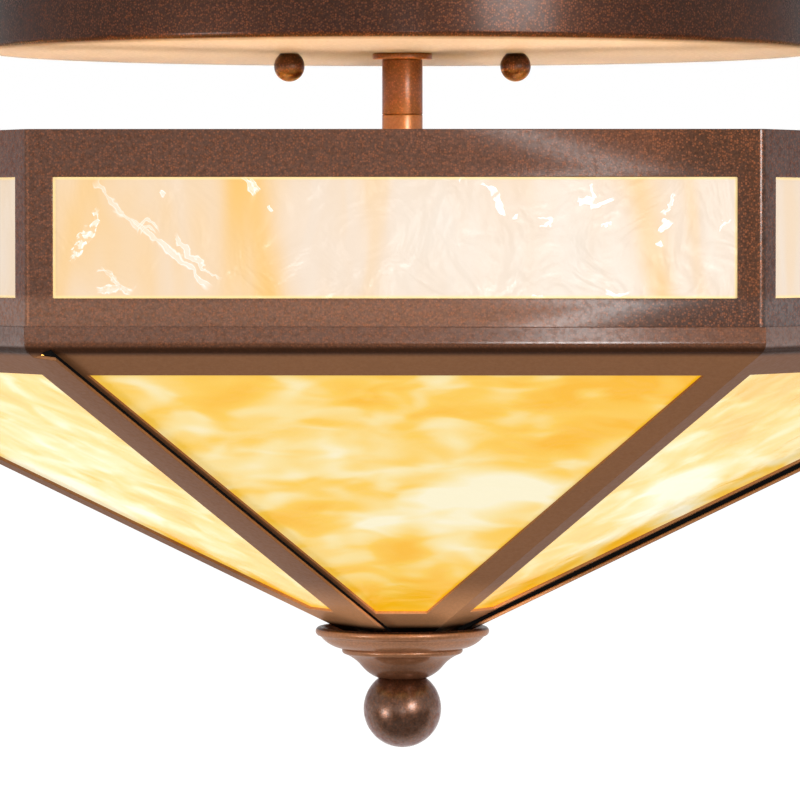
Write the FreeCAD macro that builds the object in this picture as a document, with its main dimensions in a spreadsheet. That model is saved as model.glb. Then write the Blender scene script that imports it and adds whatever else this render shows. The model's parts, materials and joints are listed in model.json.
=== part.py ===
"""Semi flush ceiling light: a hexagonal band and a folded six-sided pan of sheet steel,
glazed with art glass, hung on a short stem under a round canopy and closed by a ball finial.

Frame: millimetres, +Z up, origin on the stem's axis at the ceiling. The front face of the
hexagon looks along -Y, the two canopy studs lie along X, and everything hangs below z = 0.
"""
import FreeCAD, Part
import math
import os
import re
import Sketcher
from FreeCAD import Placement, Rotation, Vector

doc = FreeCAD.newDocument("CeilingLight")

# ---------------------------------------------------------------- driving dimensions

SIZES = {
    # ceiling plate
    "canopy_radius": 165.0,
    "canopy_depth": 32.0,
    "canopy_wall": 1.2,
    "canopy_edge_radius": 3.0,
    "strap_length": 112.0,
    "strap_width": 20.0,
    "strap_wall": 2.0,
    "strap_slot_spacing": 69.85,
    "strap_slot_length": 9.0,
    "strap_slot_width": 4.8,
    "stud_spacing": 88.9,
    "stud_radius": 2.08,
    "stud_nut_flats": 8.7,
    "stud_nut_height": 2.8,
    "stud_reach": 8.5,
    "ground_screw_offset": 20.0,
    "ground_head_radius": 4.2,
    "ground_head_height": 2.4,
    "ground_slot_width": 1.2,
    "ground_slot_depth": 1.1,
    "ball_nut_radius": 6.0,
    "ball_nut_flat_radius": 3.4,
    "ball_bore_spare": 0.8,
    # stem
    "pipe_radius": 5.15,
    "pipe_bore_radius": 3.5,
    "pipe_top_spare": 2.5,
    "pipe_nut_flats": 14.3,
    "pipe_nut_height": 4.5,
    "pipe_washer_radius": 12.0,
    "pipe_washer_height": 1.5,
    "collar_radius": 11.65,
    "collar_height": 2.4,
    "stem_radius": 7.95,
    "stem_wall": 1.2,
    "stem_length": 21.6,
    "stem_edge_chamfer": 0.35,
    "coupling_length": 11.5,
    "spacer_length": 16.0,
    # spider that centres the shade on the stem
    "spider_hub_radius": 17.0,
    "spider_arm_width": 16.0,
    "spider_wall": 3.0,
    "spider_tab_drop": 9.0,
    # lamp cluster
    "cluster_radius": 30.0,
    "cluster_side": 16.7,
    "cluster_wall": 2.0,
    "cluster_foot_radius": 8.5,
    "cluster_cover_height": 2.0,
    "socket_tilt": 20.0,
    "socket_ring_radius": 22.0,
    "nipple_reach": 7.0,
    "nipple_tail": 5.0,
    "socket_radius": 16.1,
    "socket_length": 45.0,
    "socket_wall": 2.0,
    "socket_floor": 4.0,
    "socket_shell_wall": 0.5,
    "socket_shell_length": 30.0,
    "contact_radius": 4.0,
    "contact_height": 3.2,
    "bulb_base_length": 24.5,
    "bulb_tip_radius": 4.8,
    "bulb_tip_height": 2.5,
    "bulb_glass_wall": 0.8,
    "bulb_neck_radius": 13.7,
    "bulb_neck_length": 13.0,
    "bulb_length": 108.0,
    "bulb_globe_radius": 30.0,
    "bulb_shoulder_angle": 64.0,
    # band
    "band_corner_radius": 260.0,
    "band_drop": 65.9,
    "band_height": 74.6,
    "band_wall": 1.2,
    "band_bend_radius": 3.0,
    "window_stile": 9.35,
    "window_height": 42.8,
    "window_top_rail": 16.9,
    # pan
    "pan_wall": 1.2,
    "pan_slope": 29.2,
    "pan_bend_radius": 5.0,
    "rim_lap": 4.9,
    "rim_height": 8.2,
    "pan_top_rail": 19.5,
    "rib_strip": 10.0,
    "pan_window_foot": 36.4,
    "pan_tip_apothem": 9.7,
    "seam_lap": 9.3,
    "lap_fall_share": 0.4,
    "seam_clearance": 0.35,
    "sealant_inset": 0.7,
    "sealant_recess": 1.2,
    "seam_foot_radius": 22.0,
    # glass and the clips that hold it
    "glass_wall": 3.0,
    "glass_lap": 5.0,
    "clip_width": 9.0,
    "clip_wall": 0.8,
    "clip_foot": 6.0,
    "clip_grip": 4.0,
    "clip_inset": 70.0,
    # finial
    "rod_radius": 3.175,
    "rod_nut_flats": 11.1,
    "rod_nut_height": 5.5,
    "rod_end_spare": 2.0,
    "rod_grip": 12.0,
    "base_plate_radius": 20.0,
    "base_plate_wall": 2.0,
    "seat_wall": 2.0,
    "cap_radius": 34.2,
    "cap_brim_rise": 7.7,
    "cap_brim_bow": 13.0,
    "cap_lip_wall": 3.6,
    "cap_step_radius": 23.6,
    "cap_step_top": 0.9,
    "cap_step_height": 2.1,
    "cap_bead": 0.8,
    "cap_shelf_radius": 21.6,
    "cap_shelf_width": 4.6,
    "cap_ogee_radius": 15.0,
    "cap_neck_radius": 9.4,
    "cap_drop": 10.8,
    "cap_floor": 2.4,
    "ball_radius": 15.3,
    # fits
    "thread_clearance": 0.05,
    "hole_clearance": 0.3,
    "seat_clearance": 0.05,
}

# Places worked out from the driving dimensions, as formulas of the same words.
PLACES = {
    "canopy_floor": "-canopy_depth",
    "washer_top": "canopy_floor + canopy_wall + pipe_washer_height",
    "pipe_top": "washer_top + pipe_nut_height + pipe_top_spare",
    "stem_top": "canopy_floor - collar_height",
    "stem_foot": "stem_top - stem_length",
    "spider_top": "stem_foot - coupling_length",
    "spider_foot": "spider_top - spider_wall",
    "cluster_top": "spider_foot - spacer_length",
    "cup_top": "cluster_top - cluster_cover_height",
    "pipe_foot": "cup_top - pipe_nut_height - pipe_top_spare",
    "cone_top": "cup_top - cluster_side",
    "cup_floor": "cone_foot + cluster_wall / cos(socket_tilt)",
    "cone_foot": "cone_top - (cluster_radius - cluster_foot_radius) * tan(socket_tilt)",
    "cone_middle": "cone_top - (cluster_radius - socket_ring_radius) * tan(socket_tilt)",
    "socket_back_radius": "socket_ring_radius + nipple_reach * sin(socket_tilt)",
    "socket_back": "cone_middle - nipple_reach * cos(socket_tilt)",
    "shell_radius": "socket_radius - socket_wall - hole_clearance",
    "bulb_base_radius": "shell_radius - socket_shell_wall - 2 * thread_clearance",
    "bulb_foot": "socket_floor + socket_shell_wall + contact_height",
    "bulb_rim": "bulb_foot + bulb_base_length",
    "globe_centre": "bulb_foot + bulb_length - bulb_globe_radius",
    "band_apothem": "band_corner_radius * cos(30)",
    "band_inside": "band_apothem - band_wall",
    "band_top": "-band_drop",
    "band_foot": "band_top - band_height",
    "window_width": "band_corner_radius - 2 * window_stile",
    "window_top": "band_top - window_top_rail",
    "window_foot": "window_top - window_height",
    "rim_top": "band_foot + rim_lap",
    "pan_fold": "rim_top - rim_height",
    "pan_apothem": "band_apothem + pan_wall",
    "pan_apex": "pan_fold - pan_apothem * tan(pan_slope)",
    "fold_reach": "pan_bend_radius * tan((90 - pan_slope) / 2)",
    "slope_top": "pan_apothem / cos(pan_slope)",
    "rib_spread": "cos(pan_slope) * tan(30)",
    "pan_tip": "pan_apex + pan_tip_apothem * tan(pan_slope)",
    "rib_rise": "tan(pan_slope) * cos(30)",
    "rib_fall": "tan(pan_slope) * sin(30)",
    "seam_top_radius": "(pan_apothem - fold_reach * cos(pan_slope)) / cos(30)"
                       " - (pan_wall + seat_clearance) / sin(pan_slope) / cos(30)",
    "seam_setback": "pan_wall / cos(pan_slope) / rib_fall / (1 + lap_fall_share) + seam_clearance",
    "base_plate_foot": "pan_apex + base_plate_radius * tan(pan_slope) + pan_wall / cos(pan_slope)"
                       " + seat_clearance",
    "base_plate_top": "base_plate_foot + base_plate_wall",
    "seat_foot": "pan_tip - seat_wall",
    "neck_foot": "seat_foot - cap_drop",
    "rod_top": "cup_floor + rod_nut_height + rod_end_spare",
    "rod_foot": "neck_foot - rod_grip",
}

FACE_ANGLES = {"front": -90, "right": -30, "back_right": 30,
               "back": 90, "back_left": 150, "left": -150}
LAP_PLACES = {"lap_right": (0, "-"), "lap_back": (120, ""), "lap_left": (-120, "")}
LAMP_ANGLES = (-60, 60, 180)
SPIDER_ANGLE = 90

sheet = doc.addObject("Spreadsheet::Sheet", "Sizes")
for row, (word, size) in enumerate(SIZES.items(), start=1):
    sheet.set(f"A{row}", word)
    sheet.set(f"B{row}", str(size))
    sheet.setAlias(f"B{row}", word)
doc.recompute()

# ---------------------------------------------------------------- drawing helpers


def formula(text):
    """Write out each size or place named in a formula, down to cells of the sheet."""
    def spell(match):
        word = match.group(0)
        if word in SIZES:
            return "Sizes." + word
        if word in PLACES:
            return "(" + formula(PLACES[word]) + ")"
        return word
    return re.sub(r"[a-z][a-z_]+", spell, text)


def value(text):
    """Number that a formula gives with the sheet as it stands."""
    answer = sheet.evalExpression(formula(text))
    return float(getattr(answer, "Value", answer))


def new_body(name, turn=0.0, place=None):
    """Body named after its piece, turned about Z or set by a placement formula."""
    body = doc.addObject("PartDesign::Body", name)
    body.Label = name
    body.AllowCompound = True
    if place:
        body.setExpression("Placement", formula(place))
    else:
        body.Placement = Placement(Vector(), Rotation(Vector(0, 0, 1), turn))
    return body


def origin_plane(body, role):
    for feature in body.Origin.OriginFeatures:
        if feature.Role == role:
            return feature
    raise ValueError(role)


def pin_point(sketch, geometry, end, x, y):
    """Tie one end of a drawn line or arc to a point given by two formulas."""
    for kind, text in (("DistanceX", x), ("DistanceY", y)):
        index = sketch.addConstraint(
            Sketcher.Constraint(kind, -1, 1, geometry, end, value(text)))
        sketch.setExpression(f"Constraints[{index}]", formula(text))


def arc_centre(start, end, radius, side):
    """Centre of the arc under half a turn from start to end, to its left (side 1) or right."""
    chord = end - start
    height = math.sqrt(max(radius ** 2 - (chord.Length / 2) ** 2, 0.0))
    across = Vector(-chord.y, chord.x, 0).normalize()
    return (start + end) * 0.5 + across * (height * side)


def draw_loop(sketch, points):
    """Closed outline. A point is (x, y), or (x, y, radius, side) where an arc leaves it.

    Arcs run anticlockwise in a sketch, so one that turns right is drawn from its far end.
    """
    spots = [Vector(value(point[0]), value(point[1]), 0) for point in points]
    ends = []
    for index, point in enumerate(points):
        start = spots[index]
        finish = spots[(index + 1) % len(spots)]
        if len(point) == 2:
            line = sketch.addGeometry(Part.LineSegment(start, finish))
            ends.append((line, 1, 2))
            continue
        radius = value(point[2])
        centre = arc_centre(start, finish, radius, point[3])
        low, high = (start, finish) if point[3] > 0 else (finish, start)
        first = math.atan2(low.y - centre.y, low.x - centre.x)
        last = math.atan2(high.y - centre.y, high.x - centre.x)
        if last < first:
            last += 2 * math.pi
        circle = Part.Circle(centre, Vector(0, 0, 1), radius)
        arc = sketch.addGeometry(Part.ArcOfCircle(circle, first, last))
        bound = sketch.addConstraint(Sketcher.Constraint("Radius", arc, radius))
        sketch.setExpression(f"Constraints[{bound}]", formula(point[2]))
        ends.append((arc, 1, 2) if point[3] > 0 else (arc, 2, 1))
    for index, (geometry, head, tail) in enumerate(ends):
        following, next_head, _ = ends[(index + 1) % len(ends)]
        sketch.addConstraint(
            Sketcher.Constraint("Coincident", geometry, tail, following, next_head))
        pin_point(sketch, geometry, head, points[index][0], points[index][1])


def draw_circle(sketch, x, y, radius):
    """Circle whose centre and radius are formulas."""
    circle = Part.Circle(Vector(value(x), value(y), 0), Vector(0, 0, 1), value(radius))
    geometry = sketch.addGeometry(circle)
    bound = sketch.addConstraint(Sketcher.Constraint("Radius", geometry, value(radius)))
    sketch.setExpression(f"Constraints[{bound}]", formula(radius))
    pin_point(sketch, geometry, 3, x, y)


def new_sketch(body, plane, loops=(), circles=(), base=None, spin=None):
    """Sketch on an origin plane of its body.

    base gives formulas for its offset in that plane's own x, y and z, and spin an axis there
    with the formula of the angle that the sketch is turned by.
    """
    sketch = body.newObject("Sketcher::SketchObject", f"{body.Name}_outline")
    sketch.AttachmentSupport = [(origin_plane(body, plane), "")]
    sketch.MapMode = "FlatFace"
    if spin:
        axis, angle = spin
        sketch.AttachmentOffset = Placement(Vector(), Rotation(axis, value(angle)))
        sketch.setExpression("AttachmentOffset.Rotation.Angle", formula(angle))
    for axis_name, offset in (base or {}).items():
        sketch.setExpression(f"AttachmentOffset.Base.{axis_name}", formula(offset))
    for points in loops:
        draw_loop(sketch, points)
    for circle in circles:
        draw_circle(sketch, *circle)
    return sketch


def pad(body, sketch, length, midplane=False, backward=False):
    feature = body.newObject("PartDesign::Pad", f"{body.Name}_pad")
    feature.Profile = sketch
    feature.setExpression("Length", formula(length))
    feature.SideType = "Symmetric" if midplane else "One side"
    feature.Reversed = backward
    sketch.Visibility = False
    return feature


def pocket(body, sketch, length=None):
    """Pocket through the whole body both ways, or to a depth against the sketch's normal."""
    feature = body.newObject("PartDesign::Pocket", f"{body.Name}_pocket")
    feature.Profile = sketch
    if length:
        feature.setExpression("Length", formula(length))
    else:
        feature.Type = "ThroughAll"
        feature.SideType = "Symmetric"
    sketch.Visibility = False
    return feature


def pattern(body, features, count):
    """Copies of features spaced evenly round the body's Z axis."""
    feature = body.newObject("PartDesign::PolarPattern", f"{body.Name}_ring")
    feature.Originals = features
    feature.Axis = (origin_plane(body, "Z_Axis"), [""])
    feature.Angle = 360
    feature.Occurrences = count
    body.Tip = feature
    return feature


def turned(name, profile, place=None):
    """Piece of revolution about its own Z axis, from points (radius, height)."""
    body = new_body(name, place=place)
    sketch = new_sketch(body, "XZ_Plane", [profile])
    feature = body.newObject("PartDesign::Revolution", f"{name}_revolution")
    feature.Profile = sketch
    feature.ReferenceAxis = (sketch, ["V_Axis"])
    feature.Angle = 360
    sketch.Visibility = False
    return body


def rectangle(x_low, x_high, y_low, y_high):
    return [(x_low, y_low), (x_high, y_low), (x_high, y_high), (x_low, y_high)]


def ring_profile(inner, outer, low, high):
    return rectangle(inner, outer, low, high)


def regular_outline(flats, sides=6, turn=0.0):
    """Corners of a regular polygon given the formula of its distance across flats."""
    corners = []
    for index in range(sides):
        angle = turn + index * 360 / sides
        reach = f"({flats}) / 2 / cos({180 / sides})"
        corners.append((f"{reach} * cos({angle})", f"{reach} * sin({angle})"))
    return corners


def slot_outline(middle, length, width):
    """Slot along X centred at (middle, 0), with round ends."""
    reach = f"({length} - {width}) / 2"
    half = f"{width} / 2"
    return [
        (f"{middle} - {reach}", f"-{half}"),
        (f"{middle} + {reach}", f"-{half}", half, 1),
        (f"{middle} + {length} / 2", "0", half, 1),
        (f"{middle} + {reach}", half),
        (f"{middle} - {reach}", half, half, 1),
        (f"{middle} - {length} / 2", "0", half, 1),
    ]


def hex_nut(name, flats, height, foot, bore, places=(("0", "0"),)):
    """Hexagon nuts standing on foot, one at each (x, y), as one body."""
    body = new_body(name)
    for x, y in places:
        corners = [(f"{x} + {a}", f"{y} + {b}") for a, b in regular_outline(flats)]
        sketch = new_sketch(body, "XY_Plane", [corners], [(x, y, bore)], base={"z": foot})
        pad(body, sketch, height)
    return body


# ---------------------------------------------------------------- ceiling plate


def make_canopy():
    """Spun steel dish, open to the ceiling, with holes for the stem and two studs."""
    edge = "canopy_edge_radius"
    inner_edge = "canopy_edge_radius - canopy_wall"
    floor_inside = "canopy_floor + canopy_wall"
    body = turned("canopy", [
        ("pipe_radius + hole_clearance", "canopy_floor"),
        (f"canopy_radius - {edge}", "canopy_floor", edge, 1),
        ("canopy_radius", f"canopy_floor + {edge}"),
        ("canopy_radius", "0"),
        ("canopy_radius - canopy_wall", "0"),
        ("canopy_radius - canopy_wall", f"canopy_floor + {edge}", inner_edge, -1),
        (f"canopy_radius - {edge}", floor_inside),
        ("pipe_radius + hole_clearance", floor_inside),
    ])
    radius = "stud_radius + hole_clearance"
    holes = new_sketch(body, "XY_Plane", circles=[
        ("stud_spacing / 2", "0", radius), ("-stud_spacing / 2", "0", radius)])
    pocket(body, holes)
    return body


def make_strap():
    """Flat mounting strap with threaded stud holes and slots for the outlet box screws."""
    body = new_body("mounting_strap")
    slots = [
        slot_outline(f"{side}strap_slot_spacing / 2", "strap_slot_length", "strap_slot_width")
        for side in ("", "-")]
    outline = rectangle("-strap_length / 2", "strap_length / 2",
                        "-strap_width / 2", "strap_width / 2")
    thread = "stud_radius + thread_clearance"
    holes = [
        ("stud_spacing / 2", "0", thread),
        ("-stud_spacing / 2", "0", thread),
        ("ground_screw_offset", "0", thread),
        ("0", "0", "pipe_radius + hole_clearance"),
    ]
    sketch = new_sketch(body, "XY_Plane", [outline] + slots, holes)
    pad(body, sketch, "strap_wall", backward=True)
    return body


def make_studs():
    """Two threaded studs that hang from the strap through the canopy."""
    body = new_body("canopy_studs")
    spots = [("stud_spacing / 2", "0", "stud_radius"), ("-stud_spacing / 2", "0", "stud_radius")]
    sketch = new_sketch(body, "XY_Plane", circles=spots)
    pad(body, sketch, "canopy_depth + stud_reach", backward=True)
    return body


def make_ground_screw():
    body = new_body("ground_screw")
    spot = ("ground_screw_offset", "0")
    under = {"z": "-strap_wall"}
    head = new_sketch(body, "XY_Plane", circles=[spot + ("ground_head_radius",)], base=under)
    pad(body, head, "ground_head_height", backward=True)
    shank = new_sketch(body, "XY_Plane", circles=[spot + ("stud_radius",)], base=under)
    pad(body, shank, "strap_wall")
    x_low = "ground_screw_offset - ground_head_radius - hole_clearance"
    x_high = "ground_screw_offset + ground_head_radius + hole_clearance"
    slot = rectangle(x_low, x_high, "-ground_slot_width / 2", "ground_slot_width / 2")
    slot_floor = {"z": "-strap_wall - ground_head_height + ground_slot_depth"}
    cutter = body.newObject("PartDesign::Pocket", "ground_screw_slot")
    cutter.Profile = new_sketch(body, "XY_Plane", [slot], base=slot_floor)
    cutter.Type = "ThroughAll"
    return body


def turned_ball(name, radius, flat, bore, grip, place):
    """Ball hung from z = 0 by a flat seat, with a blind bore that takes a thread."""
    top = "-seat_clearance"
    drop = f"sqrt({radius} ^ 2 - {flat} ^ 2)"
    bore_end = f"-{grip} - ball_bore_spare"
    return turned(name, [
        ("0", bore_end),
        (bore, bore_end),
        (bore, top),
        (flat, top, radius, -1),
        (radius, f"{top} - {drop}", radius, -1),
        ("0", f"{top} - {drop} - {radius}"),
    ], place=place)


def make_ceiling_plate():
    """Canopy, strap and the fastenings that hold the one to the other."""
    stud_spots = (("stud_spacing / 2", "0"), ("-stud_spacing / 2", "0"))
    pieces = [make_canopy(), make_strap(), make_studs(), make_ground_screw()]
    bore = "stud_radius + thread_clearance"
    pieces.append(hex_nut("stud_nuts", "stud_nut_flats", "stud_nut_height",
                          "-strap_wall - stud_nut_height", bore, stud_spots))
    for name, (x, y) in zip(("ball_nut_right", "ball_nut_left"), stud_spots):
        place = f"placement(vector({x}; {y}; canopy_floor); rotation(0; 0; 0))"
        pieces.append(turned_ball(name, "ball_nut_radius", "ball_nut_flat_radius", bore,
                                  "stud_reach", place))
    return pieces


# ---------------------------------------------------------------- stem


def make_tube(name, top, length):
    """Length of stem tube, its outer edges broken so that each joint shows as a line."""
    edge = "stem_edge_chamfer"
    foot = f"{top} - {length}"
    return turned(name, [
        ("stem_radius - stem_wall", foot),
        (f"stem_radius - {edge}", foot),
        ("stem_radius", f"{foot} + {edge}"),
        ("stem_radius", f"{top} - {edge}"),
        (f"stem_radius - {edge}", top),
        ("stem_radius - stem_wall", top),
    ])


def make_stem():
    """Threaded pipe with its tubes, collar, washer and nuts, from the canopy down."""
    bore = "pipe_radius + thread_clearance"
    edge = "stem_edge_chamfer"
    collar = [
        (bore, "stem_top"),
        (f"collar_radius - {edge}", "stem_top"),
        ("collar_radius", f"stem_top + {edge}"),
        ("collar_radius", "canopy_floor"),
        (bore, "canopy_floor"),
    ]
    washer = ring_profile(bore, "pipe_washer_radius", "canopy_floor + canopy_wall", "washer_top")
    pipe = ring_profile("pipe_bore_radius", "pipe_radius", "pipe_foot", "pipe_top")
    nut = ("pipe_nut_flats", "pipe_nut_height")
    return [
        turned("hanger_pipe", pipe),
        turned("canopy_washer", washer),
        hex_nut("canopy_nut", *nut, "washer_top", bore),
        turned("canopy_collar", collar),
        make_tube("stem_tube", "stem_top", "stem_length"),
        make_tube("stem_coupling", "stem_foot", "coupling_length"),
        make_tube("stem_spacer", "spider_foot", "spacer_length"),
        hex_nut("cluster_nut", *nut, "cup_top - pipe_nut_height", bore),
    ]


def make_spider():
    """Flat hub with three arms, each turned down against the inside of the band."""
    body = new_body("spider", turn=SPIDER_ANGLE)
    hub = new_sketch(body, "XY_Plane", circles=[("0", "0", "spider_hub_radius")],
                     base={"z": "spider_foot"})
    pad(body, hub, "spider_wall")
    reach = "band_inside - seat_clearance"
    outline = [
        ("0", "spider_foot"),
        (f"{reach} - spider_wall", "spider_foot"),
        (f"{reach} - spider_wall", "spider_top - spider_tab_drop"),
        (reach, "spider_top - spider_tab_drop"),
        (reach, "spider_top"),
        ("0", "spider_top"),
    ]
    arm = pad(body, new_sketch(body, "XZ_Plane", [outline]), "spider_arm_width", midplane=True)
    pattern(body, [arm], 3)
    pocket(body, new_sketch(body, "XY_Plane",
                            circles=[("0", "0", "pipe_radius + thread_clearance")]))
    return body


# ---------------------------------------------------------------- lamp cluster


def lamp_place(angle):
    """Placement whose Z axis runs from the back of a socket to the bulb's far end."""
    back = (f"vector(socket_back_radius * cos({angle}); "
            f"socket_back_radius * sin({angle}); socket_back)")
    return f"placement({back}; rotation({angle}; 180 - socket_tilt; 0))"


def make_cluster_body():
    """Cup with a coned floor, pierced square to the cone for three nipples and the rod."""
    rod_hole = "rod_radius + thread_clearance"
    side = "cluster_radius - cluster_wall"
    body = turned("cluster_body", [
        (rod_hole, "cone_foot"),
        ("cluster_foot_radius", "cone_foot"),
        ("cluster_radius", "cone_top"),
        ("cluster_radius", "cup_top"),
        (side, "cup_top"),
        (side, "cup_floor + (cluster_radius - cluster_wall - cluster_foot_radius)"
               " * tan(socket_tilt)"),
        ("cluster_foot_radius", "cup_floor"),
        (rod_hole, "cup_floor"),
    ])
    body.Placement = Placement(Vector(), Rotation(Vector(0, 0, 1), LAMP_ANGLES[0]))
    across = "socket_ring_radius * cos(socket_tilt) + cone_middle * sin(socket_tilt)"
    hole = new_sketch(body, "XY_Plane", circles=[(across, "0", "pipe_radius + thread_clearance")],
                      spin=(Vector(0, 1, 0), "0 - socket_tilt"))
    pattern(body, [pocket(body, hole)], len(LAMP_ANGLES))
    return body


def make_bulb(number, place):
    """Screw base and hollow frosted globe of one bulb."""
    base = turned(f"bulb_base_{number}", [
        ("0", "bulb_foot + seat_clearance"),
        ("bulb_tip_radius", "bulb_foot + seat_clearance"),
        ("bulb_base_radius", "bulb_foot + bulb_tip_height"),
        ("bulb_base_radius", "bulb_rim"),
        ("0", "bulb_rim"),
    ], place=place)
    globe = "bulb_globe_radius"
    inner = "(bulb_globe_radius - bulb_glass_wall)"
    sine = "sin(bulb_shoulder_angle)"
    cosine = "cos(bulb_shoulder_angle)"
    neck_top = "bulb_rim + bulb_neck_length"
    glass = turned(f"bulb_glass_{number}", [
        ("bulb_base_radius", "bulb_rim"),
        ("bulb_neck_radius", neck_top),
        (f"{globe} * {sine}", f"globe_centre - {globe} * {cosine}", globe, 1),
        (globe, "globe_centre", globe, 1),
        ("0", f"globe_centre + {globe}"),
        ("0", f"globe_centre + {inner}", inner, -1),
        (inner, "globe_centre", inner, -1),
        (f"{inner} * {sine}", f"globe_centre - {inner} * {cosine}"),
        ("bulb_neck_radius - bulb_glass_wall", neck_top),
        ("bulb_base_radius - bulb_glass_wall", "bulb_rim"),
    ], place=place)
    return [base, glass]


def make_lamps():
    """Three sockets with their brass shells, contacts and nipples, and their bulbs."""
    pieces = []
    nipples = []
    contacts = []
    thread = "pipe_radius + thread_clearance"
    inside = "socket_radius - socket_wall"
    shell_inside = "shell_radius - socket_shell_wall"
    shell_floor = "socket_floor + socket_shell_wall"
    for number, angle in enumerate(LAMP_ANGLES, start=1):
        place = lamp_place(angle)
        pieces.append(turned(f"socket_{number}", [
            (thread, "0"),
            (inside, "0", "socket_wall", 1),
            ("socket_radius", "socket_wall"),
            ("socket_radius", "socket_length"),
            (inside, "socket_length"),
            (inside, "socket_floor"),
            (thread, "socket_floor"),
        ], place=place))
        pieces.append(turned(f"socket_shell_{number}", [
            ("0", "socket_floor"),
            ("shell_radius", "socket_floor"),
            ("shell_radius", "socket_floor + socket_shell_length"),
            (shell_inside, "socket_floor + socket_shell_length"),
            (shell_inside, shell_floor),
            ("0", shell_floor),
        ], place=place))
        nipples.append(turned(f"nipple_{number}", ring_profile(
            "pipe_bore_radius", "pipe_radius", "-nipple_reach - nipple_tail", "socket_floor"),
            place=place))
        contacts.append(turned(f"contact_{number}", ring_profile(
            "0", "contact_radius", shell_floor, "bulb_foot"), place=place))
        pieces.extend(make_bulb(number, place))
    return pieces + [group("socket_nipples", nipples), group("socket_contacts", contacts)]


def make_cluster():
    """Cluster cup, its cover and everything that it carries."""
    cover = ring_profile("pipe_radius + thread_clearance", "cluster_radius",
                         "cup_top", "cluster_top")
    return [make_cluster_body(), turned("cluster_cover", cover)] + make_lamps()


# ---------------------------------------------------------------- band


def rounded_hexagon(corner, bend):
    """Hexagon with corners on the X axis and every 60 degrees, each bent to a radius."""
    points = []
    reach = f"({bend}) * tan(30)"
    for angle in range(0, 360, 60):
        for turn, leaves_arc in ((-120, True), (120, False)):
            spot = [f"{corner} * {trig}({angle}) + {reach} * {trig}({angle + turn})"
                    for trig in ("cos", "sin")]
            points.append((*spot, bend, 1) if leaves_arc else tuple(spot))
    return points


def make_band():
    """Band bent from one strip of sheet, with a window in each of its six sides."""
    body = new_body("band_frame")
    outline = [
        rounded_hexagon("band_corner_radius", "band_bend_radius"),
        rounded_hexagon("band_inside / cos(30)", "(band_bend_radius - band_wall)"),
    ]
    pad(body, new_sketch(body, "XY_Plane", outline, base={"z": "band_foot"}), "band_height")
    window = rectangle("-window_width / 2", "window_width / 2", "window_foot", "window_top")
    pattern(body, [pocket(body, new_sketch(body, "XZ_Plane", [window]))], 3)
    return body


def make_band_glass(face):
    """Flat pane that lies against the inside of one side of the band."""
    body = new_body(f"band_glass_{face}", turn=FACE_ANGLES[face] + 90)
    half = "(window_width / 2 + glass_lap)"
    pane = rectangle(f"-{half}", half, "window_foot - glass_lap", "window_top + glass_lap")
    sketch = new_sketch(body, "XZ_Plane", [pane], base={"z": "band_inside - glass_wall"})
    pad(body, sketch, "glass_wall")
    return body


def clip_outline(edge, sheet_side, away, depth):
    """Bent clip: a foot on the sheet beyond the glass's edge, and a grip over the glass.

    edge and sheet_side place the glass's edge and the sheet's inner face along the sketch's
    own axes, away is the sign that points from the glass to the foot, and depth is the sign
    that points from the sheet into the shade.
    """
    stand = f"{edge} {away} hole_clearance"
    over = f"{sheet_side} {depth} glass_wall"
    back = "-" if away == "+" else "+"
    return [
        (f"{stand} {away} clip_foot", sheet_side),
        (stand, sheet_side),
        (stand, over),
        (f"{edge} {back} clip_grip", over),
        (f"{edge} {back} clip_grip", f"{over} {depth} clip_wall"),
        (f"{stand} {away} clip_wall", f"{over} {depth} clip_wall"),
        (f"{stand} {away} clip_wall", f"{sheet_side} {depth} clip_wall"),
        (f"{stand} {away} clip_foot", f"{sheet_side} {depth} clip_wall"),
    ]


def make_band_clips():
    """Four clips behind each side of the band."""
    body = new_body("band_glass_clips")
    pads = []
    for edge, away in (("window_top + glass_lap", "+"), ("window_foot - glass_lap", "-")):
        outline = [(y, x) for x, y in clip_outline(edge, "-band_inside", away, "+")]
        for place in ("clip_inset", "-clip_inset"):
            sketch = new_sketch(body, "YZ_Plane", [outline], base={"z": place})
            pads.append(pad(body, sketch, "clip_width", midplane=True))
    pattern(body, pads, len(FACE_ANGLES))
    return body


# ---------------------------------------------------------------- pan


def panel_section():
    """Outline of the pan's sheet at the middle of a side: rim, bend and slope."""
    slope_end = ("-(pan_apothem - fold_reach * cos(pan_slope))",
                 "pan_fold - fold_reach * sin(pan_slope)")
    inner_end = (f"{slope_end[0]} + pan_wall * sin(pan_slope)",
                 f"{slope_end[1]} + pan_wall * cos(pan_slope)")
    return [
        ("-pan_apothem", "rim_top"),
        ("-pan_apothem", "pan_fold + fold_reach", "pan_bend_radius", 1),
        slope_end,
        ("-pan_tip_apothem", "pan_tip"),
        ("-(pan_tip_apothem - pan_wall / sin(pan_slope))", "pan_tip"),
        (*inner_end, "(pan_bend_radius - pan_wall)", -1),
        ("-pan_apothem + pan_wall", "pan_fold + fold_reach"),
        ("-pan_apothem + pan_wall", "rim_top"),
    ]


def slope_outline(margin, head, foot, shift="0"):
    """Four-sided outline on a side's slope, its edges along the folds.

    margin is its distance from each fold, head and foot are distances up the slope from the
    apex, and shift is what a plane further in has lost of them.
    """
    points = []
    for sign, height in (("-", foot), ("", foot), ("", head), ("-", head)):
        half = f"({height}) * rib_spread - ({margin}) * sqrt(1 + rib_spread ^ 2)"
        points.append((f"{sign}({half})", f"{height} - {shift}"))
    return points


def slope_sketch(body, outline, depth):
    """Sketch on a side's slope, a depth of sheet and glass inside its outer face."""
    return new_sketch(body, "XY_Plane", [outline],
                      base={"z": f"pan_apex + ({depth}) / cos(pan_slope)"},
                      spin=(Vector(1, 0, 0), "180 - pan_slope"))


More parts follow.
